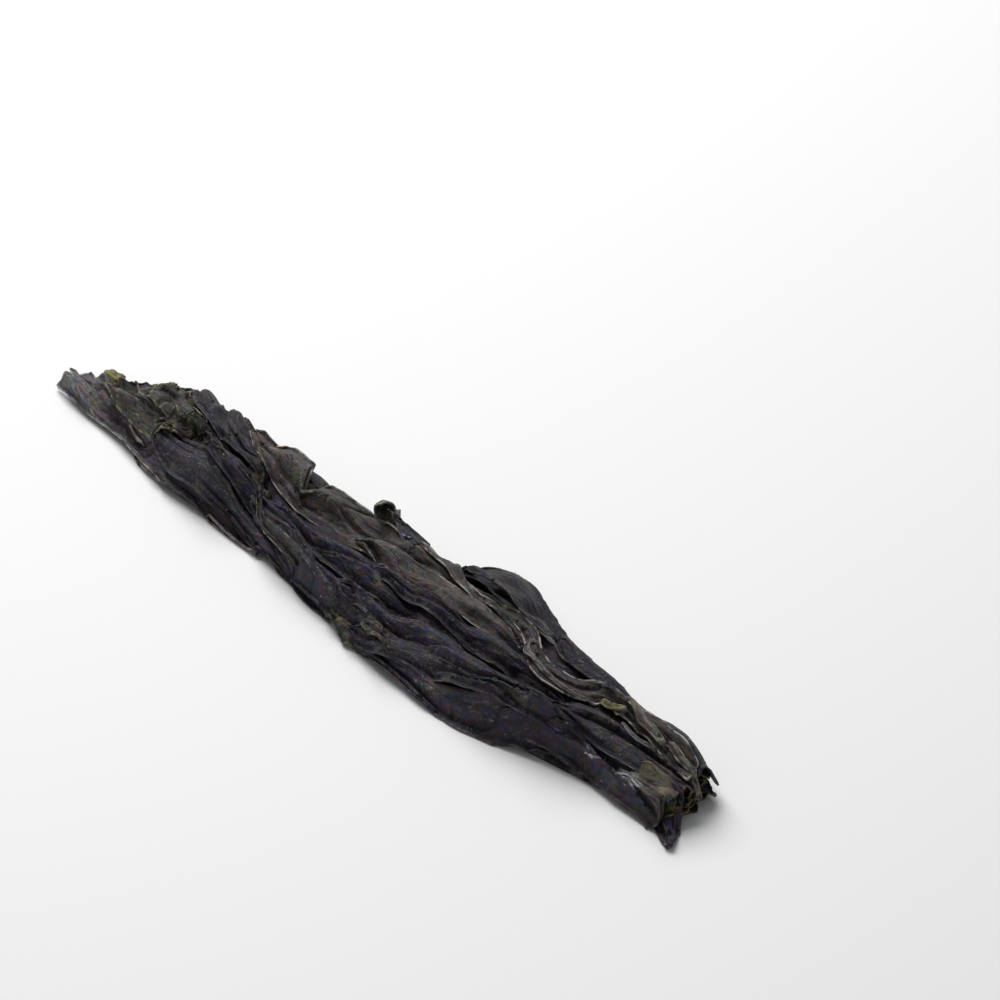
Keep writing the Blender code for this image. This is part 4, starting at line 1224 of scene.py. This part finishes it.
# %% The finishes
COLUMNS = ("Dark", "Light", "Patch", "Edge",
           "Patch Amount", "Edge Amount", "Salt Amount", "Fleck Amount", "Wear And Highlight Amount")
FINISHES = {
    "blue": ((0.0080, 0.0069, 0.0106), (0.0395, 0.0355, 0.0535), (0.088, 0.085, 0.045), (0.16, 0.155, 0.13),
             0.5, 0.5, 0.4),
    "rimmed": ((0.0100, 0.0088, 0.0110), (0.056, 0.051, 0.062), (0.090, 0.085, 0.038), (0.30, 0.28, 0.23),
               0.5, 0.9, 0.35),
    "grey": ((0.0300, 0.0275, 0.0235), (0.134, 0.126, 0.106), (0.095, 0.090, 0.048), (0.44, 0.405, 0.365),
             0.5, 0.9, 0.4, 0.55),
    "olive": ((0.0150, 0.0147, 0.0095), (0.068, 0.067, 0.040), (0.125, 0.122, 0.046), (0.24, 0.235, 0.14),
              0.9, 0.8, 0.25),
    "brown": ((0.055, 0.051, 0.033), (0.135, 0.127, 0.082), (0.05, 0.045, 0.035), (0.22, 0.20, 0.14),
              0.5, 0.25, 0.4, 0.4),
    "torn": ((0.009, 0.0087, 0.0055), (0.045, 0.045, 0.022), (0.135, 0.137, 0.052), (0.21, 0.21, 0.11),
             0.9, 0.8, 0.3),
    "yellow": ((0.13, 0.122, 0.040), (0.27, 0.25, 0.095), (0.16, 0.155, 0.055), (0.38, 0.36, 0.20),
               0.5, 0.6, 0.2, 0.3),
    "band": ((0.045, 0.043, 0.032), (0.165, 0.160, 0.120), (0.055, 0.050, 0.040), (0.42, 0.40, 0.30),
             0.7, 0.7, 0.3, 0.5),
    "cut": ((0.030, 0.023, 0.011), (0.165, 0.145, 0.060), (0.20, 0.185, 0.06), (0.25, 0.225, 0.095),
            0.6, 0.55, 0.1, 0.7),
    "salt": ((0.07, 0.07, 0.074), (0.66, 0.66, 0.67), (0.06, 0.057, 0.055), (0.75, 0.75, 0.75),
             0.8, 0.5, 0.9, 0.1),
    "bloom": ((0.021, 0.0195, 0.0205), (0.200, 0.195, 0.200), (0.085, 0.082, 0.042), (0.40, 0.39, 0.35),
              0.5, 0.8, 0.8, 0.6, 0.8),
    "rim": ((0.055, 0.048, 0.044), (0.23, 0.208, 0.190), (0.10, 0.09, 0.06), (0.38, 0.355, 0.32),
            0.5, 0.7, 0.6, 0.15),
}
# Low Shade Tint paints shade on leaf that lies low between others and High Lit Tint a little light on leaf
# that stands high; Wear And Highlight Amount sets both the wear and the painted highlights, which take the
# Salt colour.
FOR_ALL = {  # the tints multiply the leaf's colour; the last two are for rows that don't give them
    "Cool Tint": (0.60, 0.92, 1.43), "Warm Tint": (1.50, 1.0, 0.53), "Green Tint": (0.89, 1.18, 0.76),
    "Plum Tint": (1.11, 0.83, 1.19), "Low Shade Tint": (0.44, 0.33, 0.36), "High Lit Tint": (1.015, 0.975, 1.01),
    "Salt": (0.36, 0.365, 0.38), "Fleck Amount": 1.0, "Wear And Highlight Amount": 0.32,
}
SPECULAR = 0.32
SHEEN_TINT = (0.92, 0.88, 1.0, 1)
BUMP = {"Strength": 0.8, "Distance": 0.0007}
BUMP_AMOUNTS = {"Wrinkles": 0.5, "Grain": 0.8}


def finish_material(name, row):
    """The leaf finish of that name, from its row of the table."""
    material = bpy.data.materials.new(f"wakame {name}")
    material.use_nodes = True
    shader = material.node_tree.nodes["Principled BSDF"]
    finish = Nodes(material.node_tree)
    values = {label: (*value, 1) if isinstance(value, tuple) else value
              for label, value in {**FOR_ALL, **dict(zip(COLUMNS, row))}.items()}
    skin = finish.add("ShaderNodeGroup", node_tree=pattern.tree)
    heights = finish.add("ShaderNodeGroup", node_tree=skin_relief.tree)
    for group, amounts in ((skin, values), (heights, BUMP_AMOUNTS)):
        for label, value in amounts.items():
            group.inputs[label].default_value = value
    bump = finish.add("ShaderNodeBump", {"Height": heights.outputs[0], **BUMP})
    finish.feed(shader.inputs["Base Color"], skin.outputs["Color"])
    finish.feed(shader.inputs["Roughness"], skin.outputs["Roughness"])
    finish.feed(shader.inputs["Normal"], bump.outputs[0])
    shader.inputs["Specular IOR Level"].default_value = SPECULAR
    shader.inputs["Specular Tint"].default_value = SHEEN_TINT
    return material


materials = {name: finish_material(name, row) for name, row in FINISHES.items()}
print("finishes:", ", ".join(materials))

# %% [markdown]
# ## Make the leaves
#
# Each sheet goes through the creasing tree and is then given its thickness. The result is baked
# to a plain mesh, so that nothing is left to evaluate when the part is exported.
#
# In a few places sea water stood and dried to a white film. The table names those places, and each
# sheet takes from it how much film lies at each of its points.

# %% Where salt films lie
SALT_FILMS = [  # middle x and y, half-length and half-width in mm, share of the leaf that is white
    (60.2, 2.4, 4.4, 1.5, 1.0), (53.6, 1.5, 2.9, 0.7, 0.9), (-65.6, -6.6, 2.2, 1.2, 0.6),
    (-40.6, -7.4, 2.0, 1.0, 0.4), (36.0, -5.0, 5.0, 2.0, 0.35), (24.0, 9.0, 3.0, 1.5, 0.4),
    (57.6, 10.4, 3.0, 1.2, 0.5),
]
FILM_EDGE = 0.6  # share of a film's reach over which it thins out


def salt_film(x, y):
    """How much of a salt film lies at a place: 0 outside the films."""
    film = 0 * x
    for middle_x, middle_y, reach_x, reach_y, amount in SALT_FILMS:
        out = np.hypot((x - middle_x) / reach_x, (y - middle_y) / reach_y)
        film = np.maximum(film, amount * ramp(1 - out, 0, FILM_EDGE))
    return film


print(len(SALT_FILMS), "salt films")

# %% Crease, thicken and bake each leaf
FULL_CREASES_FROM = 4  # mm of width, below which the creases get smaller with the leaf
LEAF_THICKNESS = 0.3
CRYSTALS = 3.4e5  # to the square metre where a leaf stands proudest
CRYSTAL_SIZE = 0.22
CLEARANCE = 0.02  # of the lowest points over the floor


def baked(thing):
    """A plain mesh of the object with its modifiers applied."""
    bpy.context.view_layer.update()
    graph = bpy.context.evaluated_depsgraph_get()
    made = thing.evaluated_get(graph)
    mesh = bpy.data.meshes.new_from_object(made, preserve_all_data_layers=True, depsgraph=graph)
    thing.modifiers.clear()
    return mesh


def add_nodes(thing, nodes, values):
    """Puts a Geometry Nodes tree on an object, with its inputs' values."""
    modifier = thing.modifiers.new(nodes.tree.name, "NODES")
    modifier.node_group = nodes.tree
    set_inputs(modifier, values)


def crease_sizes(frond):
    """The creases for one frond: heights in metres, lengths and widths in mm of leaf."""
    size = min(1.0, frond.widest() / FULL_CREASES_FROM)
    return {label: MM * value * size if "Depth" in label or "Height" in label else value
            for label, value in CREASES.items()}


def lift_off_floor(mesh):
    """Keeps every point of a mesh over the floor."""
    places = np.empty(len(mesh.vertices) * 3, np.float32)
    mesh.vertices.foreach_get("co", places)
    places[2::3] = np.maximum(places[2::3], CLEARANCE * MM)
    mesh.vertices.foreach_set("co", places)


def make_leaf(frond, points, leaf, edge, hollow, standing):
    """The finished leaf of one frond."""
    mesh = sheet_mesh(frond.name, points, leaf, edge=edge, hollow=hollow, standing=standing,
                      shade=np.full(edge.shape, frond.shade), film=salt_film(points[..., 0], points[..., 1]))
    thing = put_in_scene(frond.name, mesh)
    add_nodes(thing, creasing, {**crease_sizes(frond), "Material": materials[frond.finish]})
    thickness = thing.modifiers.new("thickness", "SOLIDIFY")
    thickness.thickness = LEAF_THICKNESS * MM
    thickness.offset = -1
    add_nodes(thing, salting, {"Per Square Metre": CRYSTALS, "Crystal Size": CRYSTAL_SIZE * MM,
                               "Seed": frond.seed, "Salt": materials["salt"]})
    thing.data = baked(thing)
    lift_off_floor(thing.data)
    return thing


leaves = [make_leaf(*sheet) for sheet in laid]
print(len(leaves), "leaves,", sum(len(leaf.data.polygons) for leaf in leaves) * 2, "triangles")

# %% [markdown]
# ## The inner core
#
# Under the showing leaves lies a plain closed mound, a little lower than the relief they were laid
# on. It stops short of the cut end, where the inner plies show instead.

# %% Make the inner core
CORE_ROWS, CORE_ACROSS = 150, 26
CORE_FROM, CORE_TO = -75.5, 56.0
CORE_SHRINK = 0.94
CORE_RIM = 0.1  # its height where it runs out

core_share = np.linspace(-1, 1, CORE_ACROSS)
core_x = np.linspace(CORE_FROM, CORE_TO, CORE_ROWS)[:, None] + 0 * core_share
crest_y, near, far = (np.interp(core_x, core_columns[0], column) for column in core_columns[1:4])
core_y = crest_y + CORE_SHRINK * np.where(core_share < 0, near, far) * core_share
core_top = np.maximum(core_height(core_x, core_y) * CORE_SHRINK, CORE_RIM)
upper = np.stack([core_x, core_y, core_top], -1)
lower = np.stack([core_x, core_y, CLEARANCE + 0 * core_y], -1)
ring = np.concatenate([upper, lower[:, ::-1]], 1)
index = np.arange(ring[..., 0].size).reshape(ring.shape[:2])
turned = np.roll(index, -1, 1)
walls = np.stack([index[:-1], turned[:-1], turned[1:], index[1:]], -1).reshape(-1, 4)[:, ::-1].tolist()
ends = [index[0].tolist(), index[-1][::-1].tolist()]
core_mesh = bpy.data.meshes.new("inner_core")
core_mesh.from_pydata(metres(ring), [], walls + ends)
core_mesh.materials.append(materials["blue"])
core_mesh.update()
inner_core = put_in_scene("inner_core", core_mesh)
print("core:", len(walls + ends), "faces")

# %% [markdown]
# ## Hand the pieces over
#
# Every piece rides on the body and stands for the solid node, which is hidden.

# %% Ride and replace
for piece in [inner_core, *leaves]:
    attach(piece, "root")
    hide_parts("wakame")
